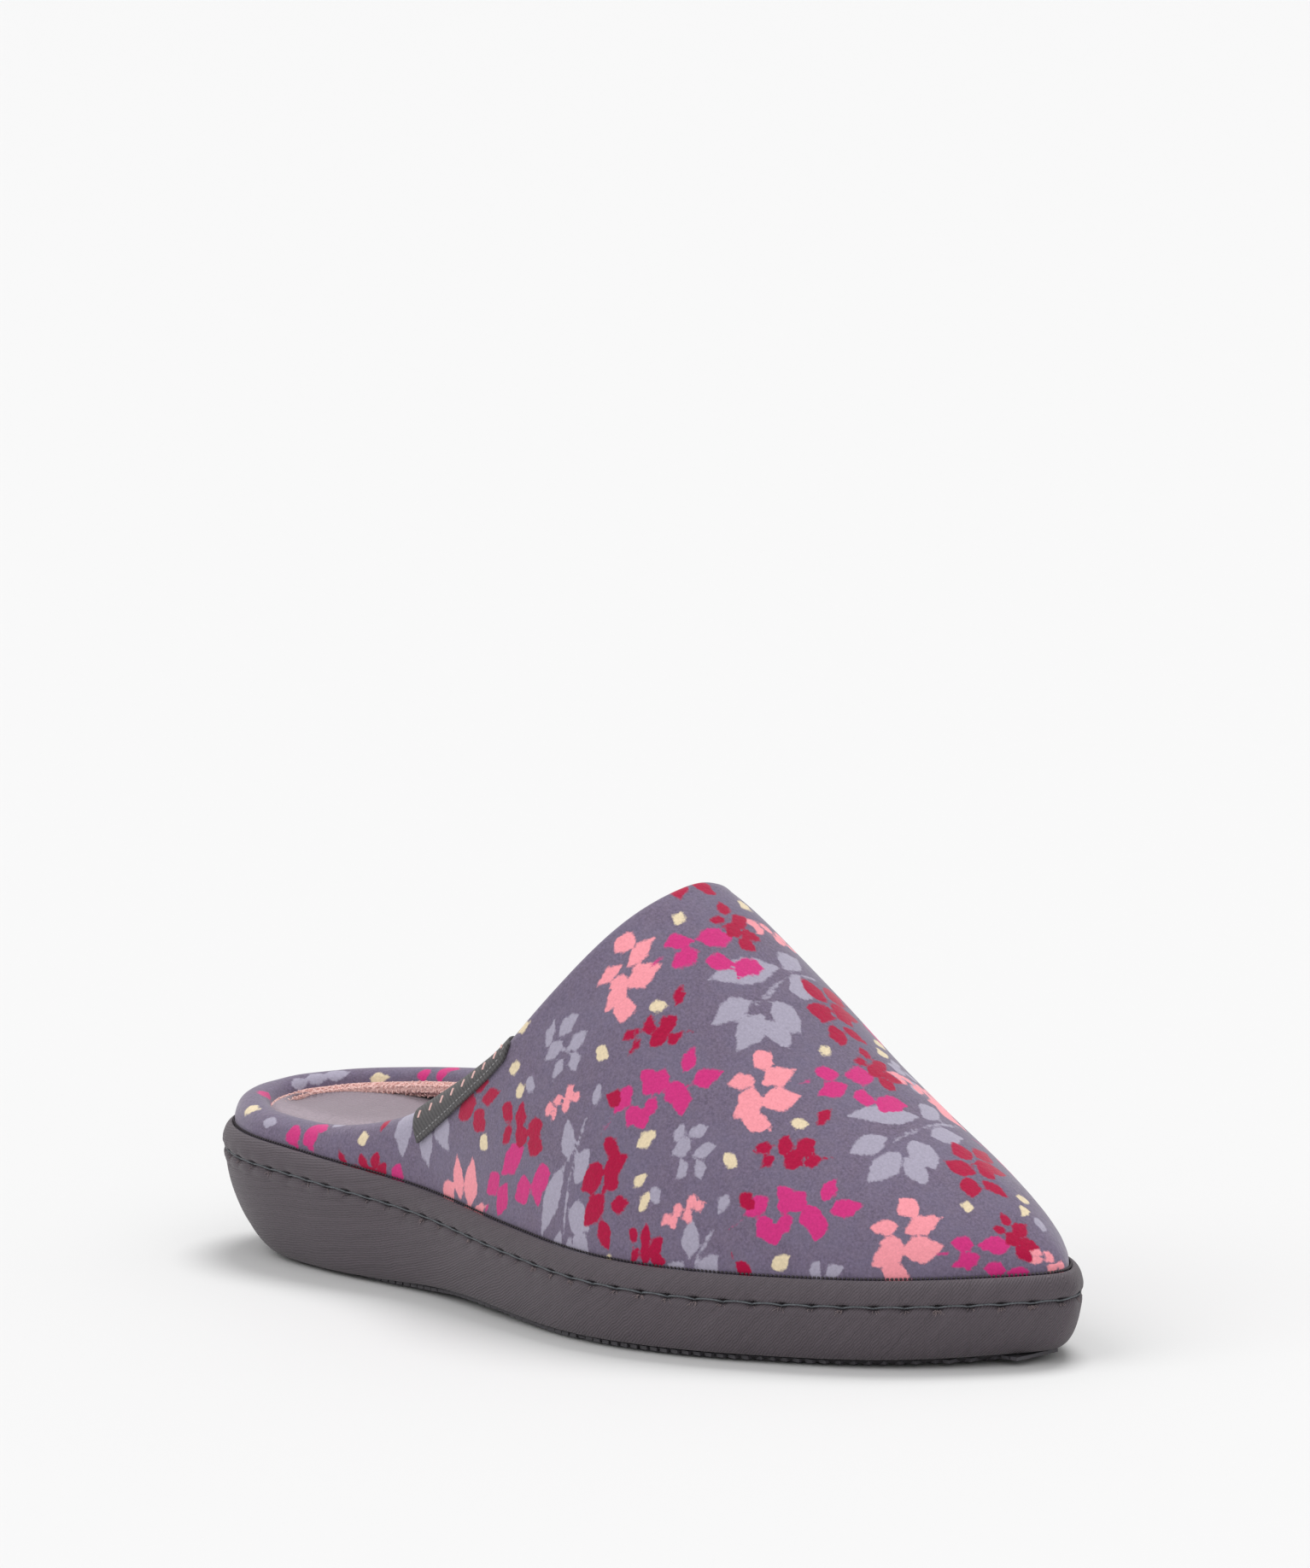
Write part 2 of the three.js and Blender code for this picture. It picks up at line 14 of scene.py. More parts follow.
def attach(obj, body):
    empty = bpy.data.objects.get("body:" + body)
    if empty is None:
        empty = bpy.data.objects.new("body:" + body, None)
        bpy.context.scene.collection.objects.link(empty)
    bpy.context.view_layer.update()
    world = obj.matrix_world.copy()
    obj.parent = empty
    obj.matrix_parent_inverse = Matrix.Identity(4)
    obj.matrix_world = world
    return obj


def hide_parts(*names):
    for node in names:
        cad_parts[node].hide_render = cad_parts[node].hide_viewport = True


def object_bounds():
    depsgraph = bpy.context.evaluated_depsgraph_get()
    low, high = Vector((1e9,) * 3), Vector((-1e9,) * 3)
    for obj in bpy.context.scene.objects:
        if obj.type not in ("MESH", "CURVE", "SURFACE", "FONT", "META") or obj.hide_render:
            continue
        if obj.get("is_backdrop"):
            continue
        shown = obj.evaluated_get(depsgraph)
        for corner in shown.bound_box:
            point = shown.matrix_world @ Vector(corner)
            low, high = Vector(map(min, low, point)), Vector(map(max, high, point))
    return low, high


bl_info = {
    "name": "Scuff Slipper",
    "version": (1, 0, 0),
    "blender": (4, 5, 0),
    "location": "View3D > Sidebar > Slipper",
    "description": "Dresses a scuff slipper in velour, terry and twill, and lights it",
    "category": "Object",
}

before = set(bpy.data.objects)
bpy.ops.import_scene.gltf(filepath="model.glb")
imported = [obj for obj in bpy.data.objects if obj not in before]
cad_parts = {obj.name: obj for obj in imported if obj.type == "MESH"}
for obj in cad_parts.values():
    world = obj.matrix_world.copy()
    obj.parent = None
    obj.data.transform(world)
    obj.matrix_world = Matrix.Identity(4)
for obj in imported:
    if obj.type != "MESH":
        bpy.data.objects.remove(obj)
CAD_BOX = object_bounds()

MM = 0.001


def hexed(code):
    """Linear colour of a six-figure hex code."""
    parts = [int(code[i : i + 2], 16) / 255 for i in (0, 2, 4)]
    return [c / 12.92 if c <= 0.04045 else ((c + 0.055) / 1.055) ** 2.4 for c in parts]


# Sizes and colours that a user would change


def length(name, text, default):
    return FloatProperty(name=name, description=text, default=default * MM, unit="LENGTH")


def colour(name, text, code):
    return FloatVectorProperty(
        name=name, description=text, subtype="COLOR", min=0, max=1, default=hexed(code)
    )


class SlipperSizes(bpy.types.PropertyGroup):
    stitch_pitch: length("Stitch pitch", "Distance between the seam's holes", 7)
    pucker: length("Pucker", "How far the twill is drawn in at each hole", 0.5)
    thread: length("Thread", "Radius of the seam's thread", 0.23)
    twill_pitch: length("Twill pitch", "Distance between the twill's lines", 0.55)
    rib_pitch: length("Rib pitch", "Distance between the tread's cross ribs", 2.75)
    rib_height: length("Rib height", "Height of the tread's cross ribs", 0.8)
    terry_loop: length("Terry loop", "Distance between the loops of the terry lining", 0.8)
    terry_depth: length("Terry depth", "How far the lining's ribs stand out", 1.5)
    print_fuzz: length("Print fuzz", "How ragged the nap makes the print's edges", 0.28)
    topstitch: length("Topstitch", "Distance between the tab's stitches", 1.4)


class SlipperColours(bpy.types.PropertyGroup):
    ground: colour("Ground", "Velour between the printed leaves", "6f6379")
    crimson: colour("Crimson", "Crimson leaves", "ad053e")
    magenta: colour("Magenta", "Magenta leaves", "cf327e")
    salmon: colour("Salmon", "Salmon leaves", "f99ba6")
    pale: colour("Pale", "Pale leaves", "a8a2b5")
    cream: colour("Cream", "Cream petals", "e7d5b3")
    terry: colour("Terry", "Lining", "fccdc6")
    footbed: colour("Footbed", "Velour of the footbed", "a595a0")
    twill: colour("Twill", "Wrap of the wedge and rand", "4f474d")
    rubber: colour("Rubber", "Outsole", "343236")
    tape: colour("Tape", "Woven tab", "4a4849")
    thread: colour("Thread", "Thread of the seam", "5a5e63")
    tuft: colour("Tufts", "Frayed ends under the seam's holes", "8a7c7e")
    floor: colour("Floor", "Studio floor", "e0e0e0")


# Meshes

# Points of a solid closer than this are one point
SAME_POINT = 2e-6


def only(*objects):
    """Selects these objects alone and makes the first active."""
    bpy.ops.object.select_all(action="DESELECT")
    for obj in objects:
        obj.select_set(True)
    bpy.context.view_layer.objects.active = objects[0]


def new_object(name, data):
    obj = bpy.data.objects.new(name, data)
    bpy.context.scene.collection.objects.link(obj)
    return obj


def copy_node(node, name):
    """A copy of a CAD node as a new piece, its triangles joined into four-sided faces."""
    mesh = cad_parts[node].data.copy()
    mesh.materials.clear()
    mesh.name = name
    obj = new_object(name, mesh)
    only(obj)
    bpy.ops.object.mode_set(mode="EDIT")
    bpy.ops.mesh.select_all(action="SELECT")
    bpy.ops.mesh.remove_doubles(threshold=SAME_POINT)
    bpy.ops.mesh.tris_convert_to_quads(
        face_threshold=math.radians(70), shape_threshold=math.radians(180)
    )
    bpy.ops.mesh.customdata_custom_splitnormals_clear()
    bpy.ops.object.mode_set(mode="OBJECT")
    return obj


def apply(obj, kind, **settings):
    """Adds a modifier and applies it."""
    only(obj)
    modifier = obj.modifiers.new(kind.title(), kind)
    for key, value in settings.items():
        setattr(modifier, key, value)
    bpy.ops.object.modifier_apply(modifier=modifier.name)


# Furthest that fitting moves a point of a cage
MOST_FIT = 0.0014


def subdivide(obj, levels, rounds=0):
    """Smooths a piece. Each round moves its cage so that it is drawn in less."""
    goal = positions(obj)
    cage = goal.copy()
    for _ in range(rounds):
        trial = obj.copy()
        trial.data = obj.data.copy()
        bpy.context.scene.collection.objects.link(trial)
        place(trial, cage)
        apply(trial, "SUBSURF", levels=2, render_levels=2)
        shift = cage - goal + (goal - positions(trial)[: len(goal)]) * 0.9
        reach = np.linalg.norm(shift, axis=1, keepdims=True)
        cage = goal + shift * np.minimum(1, MOST_FIT / np.maximum(reach, 1e-9))
        mesh = trial.data
        bpy.data.objects.remove(trial)
        bpy.data.meshes.remove(mesh)
    place(obj, cage)
    apply(obj, "SUBSURF", levels=levels, render_levels=levels)


def smooth(obj):
    only(obj)
    bpy.ops.object.shade_smooth()


def vertex_vectors(obj, key):
    out = np.empty(len(obj.data.vertices) * 3)
    obj.data.vertices.foreach_get(key, out)
    return out.reshape(-1, 3)


def positions(obj):
    return vertex_vectors(obj, "co")


def normals(obj):
    return vertex_vectors(obj, "normal")


def place(obj, points):
    obj.data.vertices.foreach_set("co", np.asarray(points).ravel())
    obj.data.update()


def dress(obj, material, slot, *nodes):
    """Gives a piece its material and its place on the part; its slot is not used."""
    if material is not None:
        obj.data.materials.clear()
        obj.data.materials.append(material)
    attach(obj, "root")
    if nodes:
        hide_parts(*nodes)


def neighbours(edges):
    """Each vertex's neighbours along some edges."""
    links = {}
    for edge in edges:
        a, b = edge.verts
        links.setdefault(a, []).append(b)
        links.setdefault(b, []).append(a)
    return links


def run_length(line):
    return sum((b - a).length for a, b in zip(line, line[1:]))


# Materials


class Finish:
    """A material's node tree, built one node at a time."""

    def __init__(self, name):
        self.material = bpy.data.materials.new(name)
        self.material.use_nodes = True
        self.tree = self.material.node_tree
        self.shader = self.tree.nodes["Principled BSDF"]

    def node(self, kind, inputs=None, **settings):
        node = self.tree.nodes.new("ShaderNode" + kind)
        for key, value in settings.items():
            setattr(node, key, value)
        for key, value in (inputs or {}).items():
            self.put(node.inputs[key], value)
        return node

    def put(self, socket, value):
        if isinstance(value, bpy.types.NodeSocket):
            self.tree.links.new(value, socket)
        else:
            socket.default_value = value

    def set(self, **inputs):
        for key, value in inputs.items():
            self.put(self.shader.inputs[key.replace("_", " ")], value)

    def math(self, operation, *values):
        inputs = dict(enumerate(values))
        return self.node("Math", inputs, operation=operation).outputs[0]

    def object(self):
        return self.node("TexCoord").outputs["Object"]

    def uv(self):
        return self.node("UVMap", uv_map="cloth").outputs[0]

    def noise(self, vector, size, detail=2.0, rough=0.5):
        inputs = {"Vector": vector, "Scale": 1 / size, "Detail": detail, "Roughness": rough}
        return self.node("TexNoise", inputs).outputs["Fac"]

    def span(self, value, low, high, to_low=0.0, to_high=1.0):
        inputs = {0: value, 1: low, 2: high, 3: to_low, 4: to_high}
        return self.node("MapRange", inputs, clamp=True).outputs[0]

    def mix(self, factor, first, second):
        node = self.node("Mix", data_type="RGBA")
        for key, value in ((0, factor), (6, first), (7, second)):
            self.put(node.inputs[key], rgba(value) if key else value)
        return node.outputs[2]

    def tone(self, value, low, high, tint, start, end):
        """A colour times start where the value is low, turning to the colour times end."""
        return self.mix(self.span(value, low, high), shade(tint, start), shade(tint, end))

    def attribute(self, name):
        return self.node("Attribute", attribute_name=name).outputs["Fac"]

    def bump(self, height, strength, distance):
        inputs = {"Height": height, "Strength": strength, "Distance": distance}
        return self.node("Bump", inputs).outputs[0]


def rgba(value):
    return value if isinstance(value, bpy.types.NodeSocket) else (*value[:3], 1.0)


def shade(value, factor):
    return [min(c * factor, 1.0) for c in value[:3]]


# Upper

# The sheet's rows run from the outer hem, 0, over the lip's middle to the inner hem
LIP_ROW = 12
TERRY_ROW = 13.5
INNER_FACE_ROW = 14
TERRY_END = 16.3

# The terry's ribs, in rows: first crest, pitch, and how they rise and die out
FIRST_RIB_ROWS = 0.45
TERRY_RIB_ROWS = 1.15
TERRY_RISE_ROWS = 0.4
TERRY_FALL_ROWS = 0.8

# Curls of yarn: radius, least and most height and half width, and their arc
LOOP_YARN = 0.17 * MM
LOOP_HIGH = (0.35, 0.75)
LOOP_WIDE = (0.25, 0.45)
LOOP_FOOT = 0.2 * MM
LOOP_ARC = ((-1, 0), (-0.9, 0.75), (0, 1), (0.9, 0.75), (1, 0))
NEIGHBOURS = [(a, b, c) for a in (-1, 0, 1) for b in (-1, 0, 1) for c in (-1, 0, 1)]

# The solid's flat hem lies below these heights, behind and before the arch
HEM_TOP_BACK = 26.5 * MM
HEM_TOP_FRONT = 18 * MM


def open_rims(bm):
    """The open borders of a sheet as lists of points, the furthest forward first."""
    rims = []
    seen = set()
    for vert in bm.verts:
        if vert in seen or not vert.is_boundary:
            continue
        loop, todo = [], [vert]
        seen.add(vert)
        while todo:
            here = todo.pop()
            loop.append(here)
            for edge in here.link_edges:
                other = edge.other_vert(here)
                if edge.is_boundary and other not in seen:
                    seen.add(other)
                    todo.append(other)
        rims.append(loop)
    return sorted(rims, key=lambda loop: -max(v.co.x for v in loop))


def steps_from(rim):
    """Number of edges from a border to each point of the sheet."""
    count = dict.fromkeys(rim, 0)
    front = list(rim)
    while front:
        ahead = []
        for vert in front:
            for edge in vert.link_edges:
                other = edge.other_vert(vert)
                if other not in count:
                    count[other] = count[vert] + 1
                    ahead.append(other)
        front = ahead
    return count


def rows_of(obj):
    """Takes the flat hem off, and numbers the rows halfway between both hems' counts."""
    bm = bmesh.new()
    bm.from_mesh(obj.data)
    under = []
    for face in bm.faces:
        middle = face.calc_center_median()
        low = HEM_TOP_BACK if middle.x < 0 else HEM_TOP_FRONT
        if face.normal.z < -0.9 and middle.z < low:
            under.append(face)
    bmesh.ops.delete(bm, geom=under, context="FACES")
    bm.verts.layers.float.new("row")
    bm.verts.layers.float.new("step")
    row, step = bm.verts.layers.float["row"], bm.verts.layers.float["step"]
    outer, inner = (steps_from(rim) for rim in open_rims(bm)[:2])
    for vert in bm.verts:
        vert[row] = LIP_ROW + (outer[vert] - inner[vert]) / 2
        vert[step] = outer[vert]
    bm.to_mesh(obj.data)
    bm.free()


def row_values(obj):
    return [item.value for item in obj.data.attributes["row"].data]


def take_off(obj, first_row, name):
    """Separates the faces that lie wholly from a row on as a new object."""
    rows = row_values(obj)
    only(obj)
    bpy.ops.object.mode_set(mode="EDIT")
    bpy.ops.mesh.select_mode(type="FACE")
    bpy.ops.mesh.select_all(action="DESELECT")
    bpy.ops.object.mode_set(mode="OBJECT")
    for poly in obj.data.polygons:
        poly.select = min(rows[v] for v in poly.vertices) >= first_row - 1e-4
    bpy.ops.object.mode_set(mode="EDIT")
    bpy.ops.mesh.separate(type="SELECTED")
    bpy.ops.object.mode_set(mode="OBJECT")
    part = next(o for o in bpy.context.selected_objects if o != obj)
    part.name = part.data.name = name
    return part


def back_seam(obj):
    """Marks a seam down the heel, through each step's hindmost point."""
    rows = [round(item.value) for item in obj.data.attributes["step"].data]
    verts = obj.data.vertices
    line = {}
    for i, row in enumerate(rows):
        if row not in line or verts[i].co.x < verts[line[row]].co.x:
            line[row] = i
    chain = set(line.values())
    for edge in obj.data.edges:
        a, b = edge.vertices
        edge.use_seam = a in chain and b in chain


def cloth_points(mesh):
    """Place of each corner on the flat cloth, in metres."""
    flat = np.empty(len(mesh.loops) * 2)
    mesh.uv_layers["cloth"].uv.foreach_get("vector", flat)
    return flat.reshape(-1, 2)


# The crest is sought this near the plane of the shoe's middle, and its front this high
MIDDLE_Y = 7 * MM
MIDDLE_NEAR = 6 * MM
CREST_FRONT_HEIGHT = 30 * MM


def flatten(obj):
    """Lays the sheet out flat as a UV map in metres from the crest's peak, toe towards +U."""
    only(obj)
    bpy.ops.object.mode_set(mode="EDIT")
    bpy.ops.mesh.select_all(action="SELECT")
    bpy.ops.uv.unwrap(method="MINIMUM_STRETCH", margin=0.0, iterations=60)
    bpy.ops.object.mode_set(mode="OBJECT")
    mesh = obj.data
    mesh.uv_layers[0].name = "cloth"
    flat = cloth_points(mesh)
    true_area = flat_area = 0.0
    for face in mesh.polygons:
        true_area += face.area
        ring = flat[list(face.loop_indices)]
        x, y = ring[:, 0], ring[:, 1]
        flat_area += abs(np.dot(x, np.roll(y, -1)) - np.dot(y, np.roll(x, -1))) / 2
    flat *= math.sqrt(true_area / flat_area)
    points = positions(obj)
    corner = np.empty(len(mesh.loops), dtype=int)
    mesh.loops.foreach_get("vertex_index", corner)
    at = points[corner]
    crest = np.abs(at[:, 1] - MIDDLE_Y) < MIDDLE_NEAR
    top = np.argmax(np.where(crest, at[:, 2], -1))
    toe = np.argmax(np.where(crest & (at[:, 2] > CREST_FRONT_HEIGHT), at[:, 0], -1))
    way = flat[toe] - flat[top]
    way /= np.linalg.norm(way)
    turned = flat - flat[top]
    flat = np.stack([turned @ way, turned @ [-way[1], way[0]]], -1)
    mesh.uv_layers["cloth"].uv.foreach_set("vector", flat.ravel())


INKS = ["pale", "cream", "salmon", "magenta", "crimson"]

# Motifs of the print, in millimetres about their own middle.
# Each leaf: ink, base x, base y, tip x, tip y, width.
MOTIFS = {
    "branch": [
        ("pale", -3, 9, -6.5, 17, 5.2),
        ("pale", 1.5, 5.5, 4, 14, 6),
        ("pale", -4, 8, -11.3, -8.3, 6.6),
        ("pale", 1.2, 0, 10.8, -1.6, 6.8),
        ("pale", 4.5, -5, 12.4, -7, 5.8),
        ("pale", -1.5, -4.5, -4.2, -16, 5.2),
        ("pale", 3, -5, 4, -17.7, 6.2),
        ("pale", 0, 19, -1.2, 5, 0.8),
        ("pale", -1.2, 6, 0.3, -5, 0.9),
    ],
    "star": [
        ("crimson", -2, 0.6, -9, 0.8, 5.2),
        ("crimson", -2.6, 3.4, -4.5, 10, 5.2),
        ("crimson", -0.8, 0.2, 3, 7.5, 5),
        ("crimson", -0.5, 1, 5, 1.2, 4.2),
        ("crimson", 1.5, -2.2, -4.4, -5.8, 5),
        ("crimson", 1.7, -4.5, 7, -8, 4.4),
        ("crimson", 3.5, -2.5, 9.8, -0.4, 3.1),
        ("crimson", -2, 0, 2, -3, 0.9),
    ],
    "posy": [
        ("crimson", -4, 7.3, -7.6, 8, 2.8),
        ("crimson", -1.6, 6.4, -2.6, 11.8, 3.4),
        ("crimson", 0.4, 6.4, 3.2, 11, 3.5),
        ("crimson", -1, 7.6, -0.6, 3, 4),
        ("crimson", 1, 5, 5.4, 6.8, 3.5),
        ("crimson", -3.6, 5.8, -5, 2, 2.3),
        ("magenta", 0.5, 4, -3.5, -4, 5),
        ("magenta", 6, 0, 9.4, 5.2, 4.8),
        ("magenta", 6, 3.4, 8.8, -3, 4.4),
        ("magenta", 5.2, -1, 2, -6.2, 4.8),
        ("magenta", -3.8, -4.6, -7, -9.6, 4.2),
        ("magenta", -1, -5, -2.4, -13, 4.4),
        ("magenta", -5.4, -11.5, -6.8, -15, 0.5),
    ],
    "spray": [
        ("salmon", -7.9, 5.7, -2.7, 5.7, 5.2),
        ("salmon", -1.7, 1, 0.5, 10.5, 4.3),
        ("salmon", -3.4, 1, -7.7, -4.6, 3.7),
        ("salmon", 1, -2.5, 5.8, 6.2, 5.8),
        ("salmon", 0.5, -1, -1.8, -9.8, 5.4),
        ("salmon", 0, -1, -3.9, -5, 4),
        ("salmon", 0.4, -8.6, 6.5, -4.8, 5.4),
        ("salmon", 5, -5.2, 8.2, -6.6, 0.8),
    ],
    "knot": [
        ("crimson", 0, -0.5, 1, 5.2, 4.4),
        ("crimson", 1, 0.8, 0, -5.2, 4.4),
        ("crimson", 3, -1.8, 5, 4, 2.9),
        ("crimson", 4.6, 3, 6.6, 5.8, 0.5),
        ("crimson", -2, -3.2, -4.6, 1.2, 3.4),
        ("crimson", -4.5, -3, -8, -7.6, 2.5),
        ("crimson", -3, -4.5, -3.8, -9.2, 2.3),
        ("crimson", -3.4, -3.4, 2, -0.4, 0.8),
    ],
    "bells": [
        ("magenta", 5, 7.5, 3.5, 14, 3.7),
        ("magenta", 8, 6.7, 12.8, 14.2, 4.5),
        ("magenta", 6.6, 5.6, 4.4, -0.2, 5.2),
        ("magenta", 6.6, 5.2, 10.4, -0.4, 5.2),
        ("magenta", 1, 0.4, 0.5, 6.2, 5.2),
        ("magenta", 0.6, 2, -5.4, 2.4, 4.2),
        ("magenta", -0.6, 2, -2, -1.5, 4.2),
        ("magenta", 1, -5, 2.6, -0.3, 3.7),
        ("magenta", -5.4, -1, -7.8, -8.2, 4.7),
        ("magenta", -1.4, -4, -2.2, -9.2, 5.2),
        ("magenta", -0.8, -5, 3, -7.4, 5.2),
        ("magenta", -7.6, -9, -9.4, -12.8, 0.6),
        ("crimson", -6.8, -5.2, -12, -5, 3.9),
    ],
    "sprig": [
        ("pale", -4.5, -2, -5, 3.2, 2.9),
        ("pale", -2, 1, 1, 5.7, 3.4),
        ("pale", 2, -1.5, 5.8, 3.4, 3.4),
        ("pale", -0.3, 0, -3.7, -4.5, 3.8),
        ("pale", 1.8, -3.4, 0.8, -8.2, 2.8),
        ("pale", 4, -1.5, 7, -4.5, 3.4),
        ("pale", -3, -1, 4, -2, 0.5),
    ],
    "drop": [
        ("salmon", 0, 0.8, 1, 4.4, 2.7),
        ("salmon", 2, 1.4, 4.2, 4.6, 2.2),
        ("salmon", -0.8, 0.2, -3.4, -1.8, 2.4),
        ("salmon", 0, 0.5, 2.8, -1.8, 2.9),
        ("salmon", -2.4, -1.8, -5, -5.8, 2.1),
        ("salmon", -1.8, -2.2, -1.4, -5.8, 1.9),
    ],
    "fan": [
        ("crimson", -3.6, 8.8, 3.4, 7.2, 3.8),
        ("crimson", -6.2, 10, -3.2, 8.4, 0.5),
        ("crimson", -0.3, 3.6, -7.4, -2.6, 6.8),
        ("crimson", 0.3, 2, 6, 8, 5.2),
        ("crimson", 0.6, 1.8, 6.8, 1.6, 4.8),
        ("crimson", 2.2, -1.4, -4.3, -10.2, 5.8),
        ("crimson", 5.2, -3.4, 11.2, -0.6, 3.6),
        ("crimson", 2.4, -6.8, 6.6, -12.2, 5.2),
        ("crimson", 0.4, 4, 3.4, -6, 0.8),
    ],
    "bud": [("crimson", 0.6, -3.2, -0.8, 3.2, 2.7)],
    "pair": [
        ("magenta", 0, 3.4, 1, -3.4, 4.8),
        ("magenta", 6.4, 4.2, 7, -4.8, 4.8),
        ("magenta", 6.6, 3.6, 11.8, 1.4, 3.4),
    ],
    "seed": [("cream", -2.2, 0, 2.2, 0, 2.7)],
    "petal": [("pale", -2.3, 0, 2.3, 0, 2.8)],
}

# Where the motifs lie on the cloth, in millimetres from the crest's peak, x towards the
# toe and y towards the inner side: motif, x, y, turn in degrees, wide, high.
PLACES = [
    ("branch", 69, -9, 0, 1, 1),
    ("branch", 26.5, -9.5, 4, 0.92, 0.98),
    ("branch", 2.5, -73.5, -4, 1.04, 1.02),
    ("branch", 51, -78, 0, 1, 1),
    ("branch", -65, -37, 12, 1.2, 0.95),
    ("star", 82.5, -1, 0, 1, 1),
    ("star", 34.5, 3.5, 16, 1, 1.05),
    ("star", -4.5, 0.5, -6, 0.95, 0.95),
    ("star", -44, -42, -20, 1.3, 1.15),
    ("star", -40, 17, -30, 1, 1.1),
    ("posy", 52, -6, 0, 1, 1),
    ("posy", 12.3, -9.5, -3, 0.92, 0.9),
    ("posy", 102.5, -12.5, 0, 0.98, 0.85),
    ("posy", 35.5, -80.3, 0, 1.05, 1.05),
    ("posy", -23.4, -64, -28, 1.75, 1.05),
    ("posy", -14, 13, 20, 0.95, 0.95),
    ("posy", -88, -52, 0, 1.1, 0.9),
    ("spray", 42, -28.5, 0, 1, 1),
    ("spray", 1.5, -26, -5, 0.88, 0.86),
    ("spray", 89.5, -29, 2, 1.06, 1.02),
    ("spray", -51, -66, 12, 1.35, 1.1),
    ("spray", 62, 18, 0, 1, 1),
    ("knot", 57, -33.5, 0, 1, 1),
    ("knot", 14.6, -32.6, -9, 0.92, 0.86),
    ("bells", 64, -45, 0, 1, 1),
    ("bells", 19.4, -44.4, -3, 0.93, 0.95),
    ("pair", -115, -35.2, 0, 1, 1),
    ("pair", -142, -12.6, 20, 0.7, 0.8),
    ("pair", -121, 23, 10, 0.9, 0.6),
    ("sprig", 35.5, -49, 0, 1, 1),
    ("sprig", -10.7, -40, -15, 1.1, 1),
    ("sprig", 83, -50, 6, 1, 1),
    ("sprig", 52, 11, 0, 0.9, 0.9),
    ("drop", 42, -61, 0, 1, 1),
    ("drop", -6, -52.3, -22, 1.15, 0.95),
    ("drop", 110, -2, -10, 0.9, 0.9),
    ("drop", 13.5, 6, 20, 1, 1),
    ("drop", 55.5, 9.5, 10, 1, 1),
    ("fan", 15, -66, 0, 1, 1),
    ("fan", 63.5, -71, 0, 1, 1),
    ("bud", 55, -22.5, 0, 1, 1),
    ("bud", 14, -24.3, 0, 1, 0.8),
    ("bud", -25, 12, 40, 1.3, 0.9),
    ("bud", -97.5, -41.8, 0, 0.9, 0.9),
    ("bud", -82.8, -35.4, 150, 1, 0.7),
    ("seed", 6.6, 4, -65, 1, 0.8),
    ("seed", 3.9, -11, -70, 0.75, 0.9),
    ("seed", 42, -8.2, -68, 1, 0.9),
    ("seed", 41, 13, -70, 1.4, 0.8),
    ("seed", 45.4, 9, -76, 1.2, 0.9),
    ("seed", 11.3, -28.9, 32, 1, 1),
    ("seed", 2.5, -41.5, -7, 1.15, 1.1),
    ("seed", 23.6, -53.2, 55, 1.4, 1.1),
    ("seed", 46.2, -46, 3, 1, 1.3),
    ("seed", 52.6, -28.6, 42, 1.1, 1.05),
    ("seed", 27.2, -61.4, 56, 1.1, 0.9),
    ("seed", 30.5, -64.6, 73, 1.1, 1),
    ("seed", 22.5, -80, 0, 0.8, 0.8),
    ("seed", 70.2, -54.7, 64, 1.35, 1.3),
    ("seed", 90.5, -11.6, -45, 0.95, 1),
    ("seed", 93.4, 3.2, 66, 1, 1),
    ("seed", 97.2, 0, -72, 0.9, 0.95),
    ("seed", -39, -56.4, -50, 1.15, 1.6),
    ("seed", -27, -43.2, 0, 1.05, 1),
    ("seed", -23.4, -48.5, 20, 1, 1.25),
    ("seed", -25.4, -35, 8, 1.1, 0.8),
    ("seed", -27.5, 7, -75, 1.2, 1),
    ("seed", -39.8, -0.5, -60, 1, 0.9),
    ("seed", -89, -37.8, 0, 1, 1.2),
    ("seed", -134.4, -25.1, -8, 1.6, 0.8),
    ("seed", -92, 25, -60, 1.1, 1.1),
    ("seed", -132, 19, 30, 1.2, 1),
    ("petal", 5, -49.5, -82, 1.1, 0.95),
    ("petal", 50, -54.3, -85, 1.2, 0.85),
    ("petal", 33, -62.3, -26, 0.9, 1.1),
    ("petal", 100.8, 1.4, -30, 0.9, 1.1),
    ("petal", -19.6, -48, -45, 1, 1.3),
    ("petal", -124, -30.5, -10, 1.2, 0.8),
    ("petal", -101, -31.5, -10, 1, 1),
    ("petal", -78, 26, -65, 1, 1.1),
    ("petal", -71, 25.5, -60, 1.1, 1.1),
    ("petal", -23.8, 19, -60, 0.8, 0.8),
    ("petal", -145.6, 4.5, 80, 1.2, 1.2),
    ("petal", -144.3, 9.6, 60, 1.4, 1.1),
    ("petal", -141.9, 14, 50, 1.5, 1.2),
]

# The rows above this one repeat on the hidden inner side, this far along and across
LAST_SHOWN_ROW = -49
NEXT_ROW = (18, 67)

FAR_FROM_INK = 3.0


def leaves():
    """Every leaf on the cloth: ink, base x, base y, tip x, tip y and width."""
    spots = list(PLACES)
    for motif, x, y, *shape in PLACES:
        if y > LAST_SHOWN_ROW:
            spots.append((motif, x + NEXT_ROW[0], y + NEXT_ROW[1], *shape))
    for motif, x, y, turn, wide, high in spots:
        c, s = math.cos(math.radians(turn)), math.sin(math.radians(turn))
        for ink, x0, y0, x1, y1, width in MOTIFS[motif]:
            ends = []
            for a, b in ((x0 * wide, y0 * high), (x1 * wide, y1 * high)):
                ends += [x + a * c - b * s, y + a * s + b * c]
            yield ink, *ends, width * math.sqrt(wide * high)


